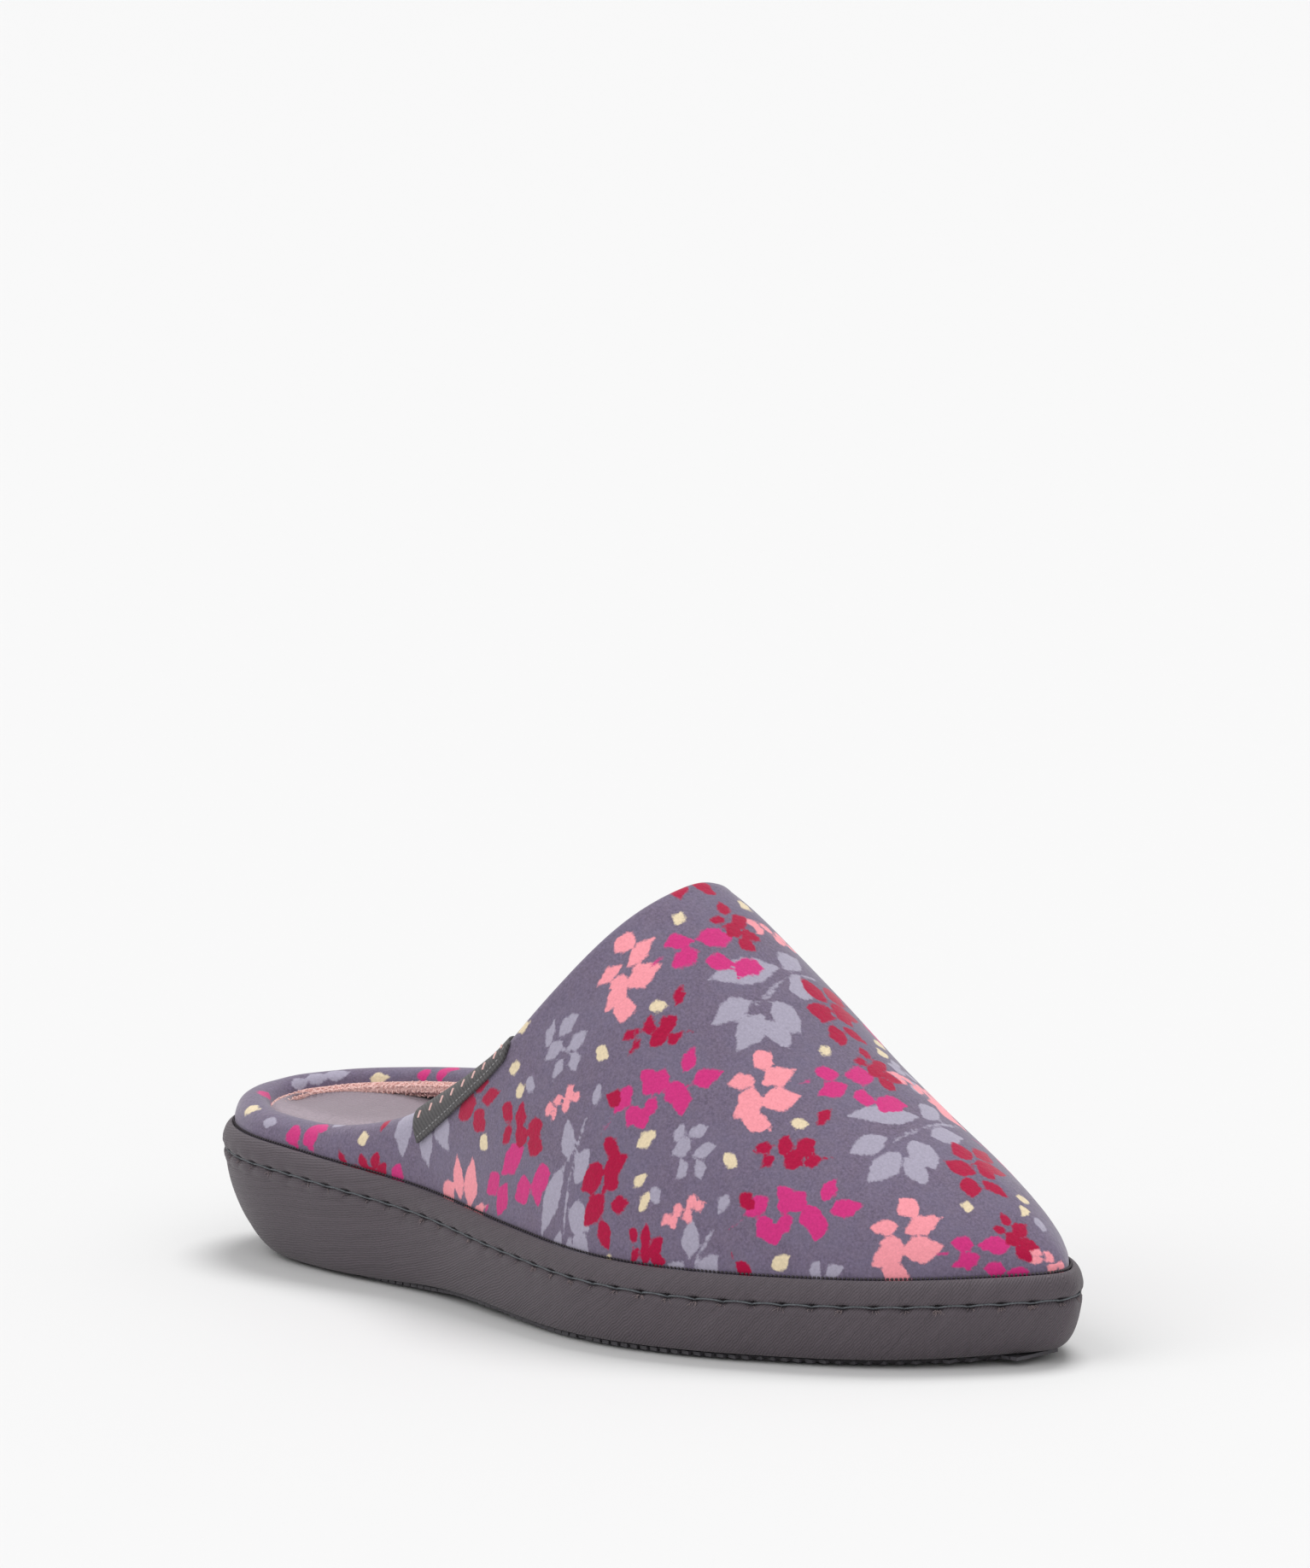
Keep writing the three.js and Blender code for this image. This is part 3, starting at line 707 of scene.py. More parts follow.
def leaf_distance(points, base, tip, width):
    """Rough distance to a leaf's edge, less than nothing inside it."""
    way = tip - base
    long = np.hypot(*way)
    way = way / long
    along = (points - base) @ way / long
    across = np.abs((points - base) @ [-way[1], way[0]])
    t = np.clip(along, 0, 1)
    # long leaves are the more pointed, and all are widest a little before the middle
    point = 0.8 + 0.4 * np.clip(long / width - 0.9, 0, 1.2)
    half = width / 2 * np.sin(math.pi * t**0.85) ** point
    past = np.maximum(np.maximum(-along, along - 1), 0) * long
    return np.where(past > 0, np.hypot(past, across), (across - half) * 0.8)


def ink_distances(flat):
    """Distance of each point of the cloth to each ink, in millimetres."""
    out = {ink: np.full(len(flat), FAR_FROM_INK) for ink in INKS}
    order = np.argsort(flat[:, 0])
    sorted_x = flat[order, 0]
    for ink, *ends, width in leaves():
        base, tip = np.array(ends[:2]), np.array(ends[2:])
        pad = width / 2 + 2
        low, high = np.minimum(base, tip) - pad, np.maximum(base, tip) + pad
        first, last = np.searchsorted(sorted_x, [low[0], high[0]])
        inside = order[first:last]
        inside = inside[(flat[inside, 1] > low[1]) & (flat[inside, 1] < high[1])]
        if len(inside):
            d = leaf_distance(flat[inside], base, tip, width)
            out[ink][inside] = np.minimum(out[ink][inside], d)
    return out


def ink_cloth(obj):
    """Writes the print on the cloth as one distance attribute for each ink."""
    mesh = obj.data
    for ink, values in ink_distances(cloth_points(mesh) / MM).items():
        attribute = mesh.attributes.new(ink, "FLOAT", "CORNER")
        attribute.data.foreach_set("value", values)


# Blue and pink casts of the velour where its nap lies differently
BLUE_CAST = "747089"
PINK_CAST = "7c6f80"

# How far the print's edges wander, and half the width of their blur, in millimetres
EDGE_WANDER = 1.5
EDGE_BLUR = 0.22


def velour_print(colours, sizes):
    """Brushed velour with the leaves printed on it."""
    f = Finish("printed_velour")
    at = f.object()
    speck = f.noise(at, 0.0006, 3, 0.7)
    cloud = f.noise(at, 0.011, 2)
    fuzz = f.noise(at, 0.00055, 3, 0.75)
    lean = f.noise(at, 0.0022, 2)
    out = f.tone(speck, 0.35, 0.68, colours.ground, 0.72, 1.32)
    out = f.mix(f.span(cloud, 0.3, 0.7, 0, 0.35), out, hexed(BLUE_CAST))
    out = f.mix(f.span(lean, 0.35, 0.7, 0, 0.3), out, hexed(PINK_CAST))
    ragged = f.math("MULTIPLY", f.math("SUBTRACT", fuzz, 0.5), sizes.print_fuzz / MM * 3.2)
    wavy = f.math("MULTIPLY", f.math("SUBTRACT", f.noise(at, 0.0021, 2), 0.5), EDGE_WANDER)
    ragged = f.math("ADD", ragged, wavy)
    for ink in INKS:
        distance = f.math("ADD", f.attribute(ink), ragged)
        mask = f.span(distance, EDGE_BLUR, -EDGE_BLUR)
        tint = getattr(colours, ink)
        out = f.mix(mask, out, f.tone(speck, 0.3, 0.75, tint, 0.86, 1.1))
    nap = f.noise(at, 0.0009, 3, 0.7)
    height = f.math("ADD", f.math("MULTIPLY", nap, 0.6), f.math("MULTIPLY", lean, 0.5))
    f.set(
        Base_Color=out,
        Roughness=0.95,
        Specular_IOR_Level=0.15,
        Sheen_Weight=0.35,
        Sheen_Roughness=0.45,
        Normal=f.bump(height, 0.45, 0.0005),
    )
    return f.material


class SLIPPER_OT_upper(bpy.types.Operator):
    """Makes the printed upper and the terry lining from the upper's solid"""

    bl_idname = "slipper.upper"
    bl_label = "Upper and lining"

    def execute(self, context):
        scene = context.scene
        sizes, colours = scene.slipper_sizes, scene.slipper_colours
        upper = copy_node("upper", "upper_print")
        rows_of(upper)
        lining = take_off(upper, INNER_FACE_ROW, "lining")
        back_seam(upper)
        flatten(upper)
        subdivide(upper, 3, rounds=3)
        subdivide(lining, 3, rounds=3)
        inside_lip = take_off(upper, TERRY_ROW, "inside_lip")
        only(lining, inside_lip)
        bpy.ops.object.join()
        bpy.ops.object.mode_set(mode="EDIT")
        bpy.ops.mesh.select_all(action="SELECT")
        bpy.ops.mesh.remove_doubles(threshold=10 * SAME_POINT)
        bpy.ops.object.mode_set(mode="OBJECT")
        smooth(upper)
        ink_cloth(upper)
        dress(upper, velour_print(colours, sizes), "print_velour", "upper")
        self.terry(lining, sizes, colours)
        return {"FINISHED"}

    def terry(self, lining, sizes, colours):
        points, facing = positions(lining), normals(lining)
        rows = np.array(row_values(lining))
        turn = 2 * math.pi * (rows - TERRY_ROW - FIRST_RIB_ROWS) / TERRY_RIB_ROWS
        start = np.clip((rows - TERRY_ROW) / TERRY_RISE_ROWS, 0, 1)
        end = np.clip((TERRY_END - rows) / TERRY_FALL_ROWS, 0, 1)
        rise = start * end * (0.5 + 0.5 * np.cos(turn)) * sizes.terry_depth
        place(lining, points + facing * rise[:, None])
        smooth(lining)
        f = Finish("terry")
        at = f.object()
        cells = f.node("TexVoronoi", {"Vector": at, "Scale": 1 / 0.0009}).outputs["Distance"]
        # The pile is painted lighter on each loop and darker between loops: painted highlights, and
        # painted shade in the hollows between the loops
        pile_shaded = f.tone(cells, 0.1, 0.7, colours.terry, 1.05, 0.75)
        under = f.span(f.attribute("row"), TERRY_END - 0.25, TERRY_END + 0.25)
        speck = f.noise(at, 0.0007, 3, 0.7)
        bed = f.tone(speck, 0.35, 0.7, colours.footbed, 0.8, 1.1)
        f.set(
            Base_Color=f.mix(under, pile_shaded, bed),
            Roughness=0.95,
            Specular_IOR_Level=0.1,
            Sheen_Weight=0.3,
            Normal=f.bump(f.math("SUBTRACT", speck, cells), 0.8, 0.0005),
        )
        dress(lining, f.material, "print_velour", "upper")
        self.loops(lining, rows, sizes, colours)

    def loops(self, lining, rows, sizes, colours):
        """Small curls of yarn on the part of the lining that shows"""
        rng = random.Random(11)
        points, facing = positions(lining), normals(lining)
        spots = [i for i, row in enumerate(rows) if TERRY_ROW + 0.05 < row < TERRY_END]
        rng.shuffle(spots)
        cells = {}
        curls = []
        for i in spots:
            p = points[i]
            cell = tuple(int(c) for c in np.floor(p / sizes.terry_loop))
            around = [cells.get((cell[0] + a, cell[1] + b, cell[2] + c)) for a, b, c in NEIGHBOURS]
            if any(q is not None and np.linalg.norm(p - q) < sizes.terry_loop for q in around):
                continue
            cells[cell] = p
            out = Vector(facing[i])
            side = out.cross(Vector((rng.gauss(0, 1), rng.gauss(0, 1), rng.gauss(0, 1)))).normalized()
            high, wide = rng.uniform(*LOOP_HIGH) * MM, rng.uniform(*LOOP_WIDE) * MM
            foot = Vector(p) - out * LOOP_FOOT
            curls.append([foot + side * wide * a + out * high * b for a, b in LOOP_ARC])
        obj = tubes("terry_loops", curls, LOOP_YARN, sides=0)
        f = Finish("terry_yarn")
        out = f.tone(f.noise(f.object(), 0.0012, 2), 0.3, 0.7, colours.terry, 0.92, 1.12)
        f.set(Base_Color=out, Roughness=0.95, Specular_IOR_Level=0.1, Sheen_Weight=0.4)
        dress(obj, f.material, "print_velour")


# Footbed

# The nap and padding stand this far above the footbed's solid, softly dented
BED_LIFT = 0.0026
BED_DENT = 0.4 * MM
BED_DENT_SIZE = 14 * MM

# Darker oval on the footbed at the heel: middle and half sizes
HEEL_OVAL_AT = (-0.105, 0.011)
HEEL_OVAL_SIZE = (0.026, 0.015)


class SLIPPER_OT_footbed(bpy.types.Operator):
    """Makes the velour footbed"""

    bl_idname = "slipper.footbed"
    bl_label = "Footbed"

    def execute(self, context):
        colours = context.scene.slipper_colours
        bed = copy_node("insole", "footbed")
        subdivide(bed, 3)
        points, facing = positions(bed), normals(bed)
        dent = [BED_DENT * noise.noise(Vector(p) / BED_DENT_SIZE) for p in points]
        points = points + facing * np.array(dent)[:, None]
        points[facing[:, 2] > 0.3, 2] += BED_LIFT
        place(bed, points)
        smooth(bed)
        f = Finish("footbed_velour")
        at = f.object()
        speck = f.noise(at, 0.0007, 3, 0.7)
        cloud = f.noise(at, 0.006, 3)
        out = f.tone(speck, 0.35, 0.7, colours.footbed, 0.74, 1.2)
        out = f.mix(f.span(cloud, 0.35, 0.65, 0, 0.4), out, shade(colours.footbed, 0.7))
        split = f.node("SeparateXYZ", {0: at})
        across = f.math("DIVIDE", f.math("SUBTRACT", split.outputs[1], HEEL_OVAL_AT[1]), HEEL_OVAL_SIZE[1])
        along = f.math("DIVIDE", f.math("SUBTRACT", split.outputs[0], HEEL_OVAL_AT[0]), HEEL_OVAL_SIZE[0])
        away = f.math("SQRT", f.math("ADD", f.math("POWER", across, 2), f.math("POWER", along, 2)))
        heel_oval = f.math("ADD", away, f.math("MULTIPLY", f.noise(at, 0.006, 2), 0.6))
        # The footbed's colour is made darker inside an oval at the heel
        out = f.mix(f.span(heel_oval, 1.45, 1.05, 0, 0.7), out, shade(colours.footbed, 0.66))
        f.set(
            Base_Color=out,
            Roughness=0.95,
            Specular_IOR_Level=0.1,
            Sheen_Weight=0.3,
            Normal=f.bump(f.math("ADD", speck, cloud), 0.5, 0.0006),
        )
        dress(bed, f.material, "footbed_velour", "insole")
        return {"FINISHED"}


# Wedge, rand and seam

# The seam's line lies this far outside the wedge's upper edge, and above it
SEAM_OUT = 0.3 * MM
SEAM_UP = 0.15 * MM

# It is walked in steps of about this length, each averaged with so many on either side
SEAM_STEP = 0.5 * MM
SMOOTH_STEPS = 9


def top_ring(node):
    """Border of a node's upper face, in order, as points."""
    bm = bmesh.new()
    bm.from_mesh(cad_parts[node].data)
    bmesh.ops.remove_doubles(bm, verts=bm.verts, dist=SAME_POINT)
    bm.normal_update()
    lid = {face for face in bm.faces if face.normal.z > 0.8}
    links = neighbours(e for e in bm.edges if sum(f in lid for f in e.link_faces) == 1)
    start = min(links, key=lambda v: v.co.x)
    ring, before, here = [start], None, start
    while True:
        after = next(v for v in links[here] if v is not before)
        if after is start:
            break
        ring.append(after)
        before, here = here, after
    points = np.array([v.co[:] for v in ring])
    bm.free()
    area = np.sum(points[:, 0] * np.roll(points[:, 1], -1) - points[:, 1] * np.roll(points[:, 0], -1))
    return points if area > 0 else points[::-1]


class SeamPath:
    """The line of the seam round the shoe, in even steps, with its outward normals."""

    def __init__(self):
        ring = top_ring("platform")
        closed = np.vstack([ring, ring[:1]])
        run = np.concatenate([[0], np.cumsum(np.linalg.norm(np.diff(closed, axis=0), axis=1))])
        self.length = run[-1]
        count = int(self.length / SEAM_STEP)
        s = np.arange(count) * self.length / count
        points = np.stack([np.interp(s, run, closed[:, k]) for k in range(3)], -1)
        window = np.hanning(2 * SMOOTH_STEPS + 1)
        window /= window.sum()
        padded = np.vstack([points[-SMOOTH_STEPS:], points, points[:SMOOTH_STEPS]])
        self.points = np.stack(
            [np.convolve(padded[:, k], window, "valid") for k in range(3)], -1
        )
        way = np.roll(self.points, -1, 0) - np.roll(self.points, 1, 0)
        out = np.stack([way[:, 1], -way[:, 0], np.zeros(count)], -1)
        self.out = out / np.linalg.norm(out, axis=1)[:, None]
        self.points += self.out * SEAM_OUT + np.array([0, 0, SEAM_UP])
        self.s = s
        self.step = s[1] - s[0]
        self.tree = kdtree.KDTree(count)
        for i, p in enumerate(self.points):
            self.tree.insert((p[0], p[1], 0), i)
        self.tree.balance()

    def near(self, point):
        """Index of the nearest step in plan, and height above the seam."""
        _, i, _ = self.tree.find((point[0], point[1], 0))
        return i, point[2] - self.points[i][2]

    def pitches(self, pitch):
        """The stitch pitch that goes a whole number of times round."""
        return self.length / round(self.length / pitch)


def twill(colours, sizes):
    """Grey twill, its fine lines across the UV map's diagonal."""
    f = Finish("twill")
    split = f.node("SeparateXYZ", {0: f.uv()})
    along, up = split.outputs[0], split.outputs[1]
    at = f.object()
    drift = f.math("MULTIPLY", f.noise(at, 0.012, 2), 0.0016)
    slant = f.math("ADD", f.math("SUBTRACT", up, along), drift)
    turn = f.math("MULTIPLY", slant, 2 * math.pi / sizes.twill_pitch)
    line = f.span(f.math("SINE", turn), -1, 1)
    cross = f.math("MULTIPLY", f.math("ADD", along, up), 2 * math.pi / 0.0004)
    yarn = f.span(f.math("SINE", cross), -1, 1)
    fibre = f.noise(at, 0.00045, 3, 0.75)
    cloud = f.noise(at, 0.013, 3)
    lie = f.node("CombineXYZ", {0: f.math("MULTIPLY", slant, 1100), 1: f.math("MULTIPLY", along, 130)})
    streak = f.noise(lie.outputs[0], 1, 2)
    weave = f.math("ADD", f.math("MULTIPLY", line, 0.75), f.math("MULTIPLY", yarn, 0.2))
    out = f.tone(weave, 0.05, 0.9, colours.twill, 0.55, 1.3)
    out = f.mix(f.span(fibre, 0.35, 0.75, 0, 0.5), out, shade(colours.twill, 1.6))
    out = f.mix(f.span(cloud, 0.35, 0.7, 0, 0.25), out, shade(colours.twill, 0.8))
    out = f.mix(f.span(streak, 0.3, 0.7, 0, 0.4), out, shade(colours.twill, 1.5))
    height = f.math("ADD", weave, f.math("MULTIPLY", fibre, 0.5))
    f.set(
        Base_Color=out,
        Roughness=0.6,
        Specular_IOR_Level=0.35,
        Sheen_Weight=0.1,
        Normal=f.bump(height, 0.5, 0.0003),
    )
    return f.material


# Reach of the holes, of the dimples round them, of the groove along the seam and of the
# swelling between the holes; the holes lie a little below the seam's line
HOLE_BELOW = 0.2 * MM
HOLE_WIDE = 1.0 * MM
HOLE_HIGH = 0.7 * MM
DIMPLE = 1.8 * MM
GROOVE = 0.55 * MM
SWELL_OFF = 2.0 * MM
SWELL_AT = 1.9 * MM
SWELL_HIGH = 1.5 * MM

# Slope of the twill's lines along the outer side, in degrees
HEEL_SLOPE = 8
TOE_SLOPE = 48


def lay_cloth(obj, path, places):
    """Lays the cloth's UV map along the seam, level at the heel and slanting at the toe."""
    x = path.points[:, 0]
    # the slope changes over the middle five eighths of the length
    share = np.clip((x - x.min()) / (x.max() - x.min()) * 1.6 - 0.3, 0, 1)
    slope = np.radians(HEEL_SLOPE + (TOE_SLOPE - HEEL_SLOPE) * share)
    run = np.cumsum(np.sin(slope)) * path.step
    whole = run[-1]
    layer = obj.data.uv_layers.new(name="cloth")
    for poly in obj.data.polygons:
        steps = [int(places[v][0]) for v in poly.vertices]
        wraps = max(steps) - min(steps) > len(run) / 2
        for loop, v, i in zip(poly.loop_indices, poly.vertices, steps):
            u = run[i] + (whole if wraps and i < len(run) / 2 else 0)
            layer.data[loop].uv = (u, places[v][1] * math.cos(slope[i]))


def fade(distance, reach):
    """Falls from 1 at no distance to nearly nothing at twice the reach."""
    return math.exp(-((distance / reach) ** 2))


def draw_in(obj, path, sizes):
    """Draws the twill in at the seam and its holes. Returns each point's step and height."""
    points, facing = positions(obj), normals(obj)
    pitch = path.pitches(sizes.stitch_pitch)
    places = np.empty((len(points), 2))
    for n, p in enumerate(points):
        i, height = path.near(p)
        places[n] = i, height
        out = path.out[i]
        if facing[n] @ out < 0.05:
            continue
        off = (path.s[i] / pitch + 0.5) % 1 * pitch - pitch / 2
        low = height + HOLE_BELOW
        hole = fade(off, HOLE_WIDE) * fade(low, HOLE_HIGH)
        dimple = fade(off, DIMPLE) * fade(low, DIMPLE)
        groove = fade(height, GROOVE)
        swell = (1 - fade(off, SWELL_OFF)) * fade(abs(height) - SWELL_AT, SWELL_HIGH)
        points[n] -= out * sizes.pucker * (3.2 * hole + 0.4 * dimple + groove - 0.3 * swell)
    place(obj, points)
    return places


# The thread lies this deep, dips into each hole and arches between them
THREAD_IN = 0.12 * MM
THREAD_DIP = 1.0 * MM
THREAD_HOLD = 0.6 * MM
THREAD_ARCH = 0.3 * MM

# Dark stitches where rand and upper meet, their darkness also a painted shade of the gap between them:
# radius, and how far in from the seam and up both ends lie
EDGE_STITCH = 0.3 * MM
EDGE_STITCH_IN = (2.35 * MM, 2.15 * MM)
EDGE_STITCH_UP = (6.1 * MM, 6.05 * MM)

# Frayed ends: radius, lengths and number, and where they start from a hole's middle
HAIR = 0.06 * MM
HAIR_LENGTH = (0.4 * MM, 1.0 * MM)
HAIRS = (3, 5, 8, 14)
TUFT_IN = 0.3 * MM
TUFT_DOWN = 0.6 * MM
TUFT_HALF = 0.8 * MM

# The wrap comes down over the outsole's edge, fully this far behind the shoe's middle
TUCK_DEPTH = 1.1 * MM
TUCK_START = -0.035
TUCK_RUN = 0.045
TUCK_TOP = 7 * MM
TUCK_HEIGHT = 5 * MM

# Section of the pinched cloth at the seam: height above it and how far out, in millimetres
PINCH = [
    (-3.2, -0.35),
    (-2.4, 0.04),
    (-1.6, 0.14),
    (-1.1, 0.16),
    (-0.7, 0.15),
    (-0.4, 0.1),
    (-0.2, 0.03),
    (0, 0),
    (0.2, 0.05),
    (0.45, 0.16),
    (0.8, 0.3),
    (1.2, 0.38),
    (1.7, 0.4),
    (2.3, 0.1),
]


def pinched_strip(path, name):
    """A strip of cloth that bridges wedge and rand along the seam."""
    count = len(path.points)
    rows = [path.points + path.out * out * MM + [0, 0, height * MM] for height, out in PINCH]
    faces = []
    for r in range(len(rows) - 1):
        for i in range(count):
            j = (i + 1) % count
            faces.append((r * count + i, r * count + j, (r + 1) * count + j, (r + 1) * count + i))
    mesh = bpy.data.meshes.new(name)
    mesh.from_pydata([tuple(p) for row in rows for p in row], [], faces)
    return new_object(name, mesh)


def tubes(name, lines, radius, closed=False, sides=1):
    """Round cords along lines of points, as one mesh."""
    curve = bpy.data.curves.new(name, "CURVE")
    curve.dimensions = "3D"
    curve.bevel_depth = radius
    curve.bevel_resolution = sides
    curve.use_fill_caps = True
    for line in lines:
        spline = curve.splines.new("POLY")
        spline.points.add(len(line) - 1)
        for point, p in zip(spline.points, line):
            point.co = (*p, 1)
        spline.use_cyclic_u = closed
    only(new_object(name, curve))
    bpy.ops.object.convert(target="MESH")
    obj = bpy.context.object
    obj.name = obj.data.name = name
    smooth(obj)
    return obj


class SLIPPER_OT_wedge(bpy.types.Operator):
    """Makes the twill-wrapped wedge, the rand, and the thread and tufts of their seam"""

    bl_idname = "slipper.wedge"
    bl_label = "Wedge, rand and seam"

    def execute(self, context):
        scene = context.scene
        sizes, colours = scene.slipper_sizes, scene.slipper_colours
        path = SeamPath()
        cloth = twill(colours, sizes)
        for node, name in (("platform", "wedge"), ("rand", "rand_wrap")):
            piece = copy_node(node, name)
            subdivide(piece, 3)
            lay_cloth(piece, path, draw_in(piece, path, sizes))
            if name == "wedge":
                self.tuck_under(piece)
            smooth(piece)
            dress(piece, cloth, "twill", node)
        strip = pinched_strip(path, "seam_strip")
        lay_cloth(strip, path, draw_in(strip, path, sizes))
        smooth(strip)
        dress(strip, cloth, "twill")
        self.thread(path, sizes, colours)
        self.stitches_and_gap_shade(path, colours)
        self.tufts(path, sizes, colours)
        return {"FINISHED"}

    def tuck_under(self, wedge):
        """Brings the wrap down over the outsole's edge at the heel"""
        points = positions(wedge)
        back = np.clip((TUCK_START - points[:, 0]) / TUCK_RUN, 0, 1)
        low = np.clip((TUCK_TOP - points[:, 2]) / TUCK_HEIGHT, 0, 1)
        points[:, 2] -= TUCK_DEPTH * back * back * (3 - 2 * back) * low
        place(wedge, points)

    def thread(self, path, sizes, colours):
        pitch = path.pitches(sizes.stitch_pitch)
        line = []
        for i in range(0, len(path.points), 2):
            share = path.s[i] / pitch % 1
            hold = fade(((share + 0.5) % 1 - 0.5) * pitch, THREAD_HOLD)
            arch = math.sin(math.pi * share)
            out = -THREAD_IN - THREAD_DIP * hold
            line.append(path.points[i] + path.out[i] * out + [0, 0, THREAD_ARCH * (arch - hold)])
        obj = tubes("seam_thread", [line], sizes.thread, closed=True)
        f = Finish("seam_thread")
        ply = f.noise(f.object(), 0.0004, 2)
        out = f.tone(ply, 0.3, 0.7, colours.thread, 0.7, 1.4)
        f.set(Base_Color=out, Roughness=0.55, Normal=f.bump(ply, 0.5, 0.0002))
        dress(obj, f.material, "twill")

    def stitches_and_gap_shade(self, path, colours):
        """Dark edge stitches where the rand meets the upper, darkened as a painted shade of the gap
        between them
        """
        lines = []
        count = len(path.points)
        for i in range(0, count, 2):
            ends = []
            for k, inward, up in zip((i, (i + 1) % count), EDGE_STITCH_IN, EDGE_STITCH_UP):
                ends.append(path.points[k] - path.out[i] * inward + [0, 0, up])
            lines.append(ends)
        obj = tubes("rand_edge_stitches", lines, EDGE_STITCH, sides=0)
        f = Finish("edge_thread")
        # The twill made darker: painted shade of the gap where rand and upper meet
        f.set(Base_Color=rgba(shade(colours.twill, 0.55)), Roughness=0.7)
        dress(obj, f.material, "twill")

    def tufts(self, path, sizes, colours):
        """Frayed ends of the foam's cover under each hole"""
        rng = random.Random(7)
        pitch = path.pitches(sizes.stitch_pitch)
        hairs = []
        for hole in range(round(path.length / pitch)):
            i = round(hole * pitch / path.step) % len(path.points)
            out, way = Vector(path.out[i]), Vector((-path.out[i][1], path.out[i][0], 0))
            middle = Vector(path.points[i]) - out * TUFT_IN + Vector((0, 0, -TUFT_DOWN))
            forward = min(max((path.points[i][0] + 0.1) / 0.2, 0), 1)
            for _ in range(round(rng.choice(HAIRS) * (0.3 + 0.9 * forward))):
                side = rng.uniform(-1, 1)
                rise = Vector((0, 0, rng.uniform(-0.3, 0.1))) * MM
                start = middle + way * side * TUFT_HALF + rise
                lean = way * (side * 0.6 + rng.uniform(-0.5, 0.5)) + out * rng.uniform(0.4, 0.9)
                lean += Vector((0, 0, rng.uniform(-1.1, 0.1)))
                long = rng.uniform(*HAIR_LENGTH)
                bend = (way * rng.uniform(-0.3, 0.3) + Vector((0, 0, -0.2))) * MM
                hairs.append([start, start + lean * long * 0.6, start + lean * long + bend])
        obj = tubes("seam_tufts", hairs, HAIR, sides=0)
        f = Finish("seam_tufts")
        f.set(Base_Color=rgba(colours.tuft), Roughness=0.9)
        dress(obj, f.material, "twill")


# Outsole

# Height of the tread's feet, and how far in from the edge they stand
FOOT_HEIGHT = 0.0006
FOOT_INSET = 0.005

# The outline and the underside's height are read off the solid in cells this long
OUTLINE_CELL = 2 * MM
GROUND_CELL = 4 * MM

# How far the ribs' ends stand out of the edge, and their width in rib pitches
RIB_OUT = 0.3 * MM
RIB_SHARE = 0.74


class SLIPPER_OT_outsole(bpy.types.Operator):
    """Makes the rubber outsole and its cross ribs"""

    bl_idname = "slipper.outsole"
    bl_label = "Outsole"

    def execute(self, context):
        scene = context.scene
        sizes, colours = scene.slipper_sizes, scene.slipper_colours
        sole = copy_node("outsole", "outsole_web")
        points = positions(sole)
        floor = points.copy()
        low = normals(sole)[:, 2] < -0.2
        points[low, 2] += FOOT_HEIGHT + 0.0001
        place(sole, points)
        f = Finish("rubber")
        grain = f.noise(f.object(), 0.0015, 3)
        out = f.tone(grain, 0.3, 0.7, colours.rubber, 0.75, 1.25)
        f.set(Base_Color=out, Roughness=0.62, Specular_IOR_Level=0.4, Normal=f.bump(grain, 0.3, 0.0002))
        dress(sole, f.material, "rubber", "outsole")
        self.ribs(floor, sizes, colours)
        return {"FINISHED"}

    def ribs(self, floor, sizes, colours):
        """Cross ribs whose ends show at the edge, on feet that stand further in"""
        outer = floor[floor[:, 1] < 0]
        inner = floor[floor[:, 1] >= 0]
        start, end = floor[:, 0].min() + 0.001, floor[:, 0].max() - 0.001
        underside = ground_line(floor)
        bars = []
        for x in np.arange(start, end, sizes.rib_pitch):
            y0 = side_at(outer, x, min)
            y1 = side_at(inner, x, max)
            ground = np.interp(x, *underside)
            foot = ground + FOOT_HEIGHT
            bars.append((x, y0 - RIB_OUT, y1 + RIB_OUT, foot, foot + sizes.rib_height))
            if y1 - y0 > 3 * FOOT_INSET and start + FOOT_INSET < x < end - FOOT_INSET:
                bars.append((x, y0 + FOOT_INSET, y1 - FOOT_INSET, ground, foot + 0.0002))
        made = []
        for x, y0, y1, z0, z1 in bars:
            bpy.ops.mesh.primitive_cube_add(size=1)
            bar = bpy.context.object
            bar.scale = (sizes.rib_pitch * RIB_SHARE, y1 - y0, z1 - z0)
            bar.location = (x, (y0 + y1) / 2, (z0 + z1) / 2)
            bpy.ops.object.transform_apply(location=True, rotation=True, scale=True)
            made.append(bar)
        only(*made)
        bpy.ops.object.join()
        made[0].name = made[0].data.name = "outsole_ribs"
        f = Finish("rib_rubber")
        # The ribs are the rubber made 2.2 times lighter: a painted highlight on their ends
        f.set(Base_Color=rgba(shade(colours.rubber, 2.2)), Roughness=0.5, Specular_IOR_Level=0.5)
        dress(made[0], f.material, "rubber", "outsole")


def side_at(points, x, pick):
    """Edge of the outline at x, from points on it."""
    cells = np.round(points[:, 0] / OUTLINE_CELL).astype(int)
    rows = np.unique(cells)
    line = [pick(points[cells == c, 1]) for c in rows]
    return float(np.interp(x, rows * OUTLINE_CELL, line))


def ground_line(floor):
    """Height of the outsole's underside along the shoe."""
    cells = np.round(floor[:, 0] / GROUND_CELL).astype(int)
    rows = np.unique(cells)
    return rows * GROUND_CELL, [floor[cells == c, 2].min() for c in rows]


# Woven tab

# Edges this sharp, in degrees, bound the tab's faces and are rounded this much
TAB_SHARP = 50
TAB_BEVEL = 0.2 * MM

# Topstitch and dashes: how far in from the outer edge, at the low corner further
TOPSTITCH_IN = 0.0012
TOPSTITCH_THREAD = 0.17 * MM
TOPSTITCH_COLOUR = "8d8b8d"
DASHES = 9
DASH_IN = 0.0034
DASH_CORNER = 0.0034
DASH_HALF = 0.00085
DASH_THREAD = 0.4 * MM
WALK_STEPS = 10
DASH_COLOUR = "e3b9b4"


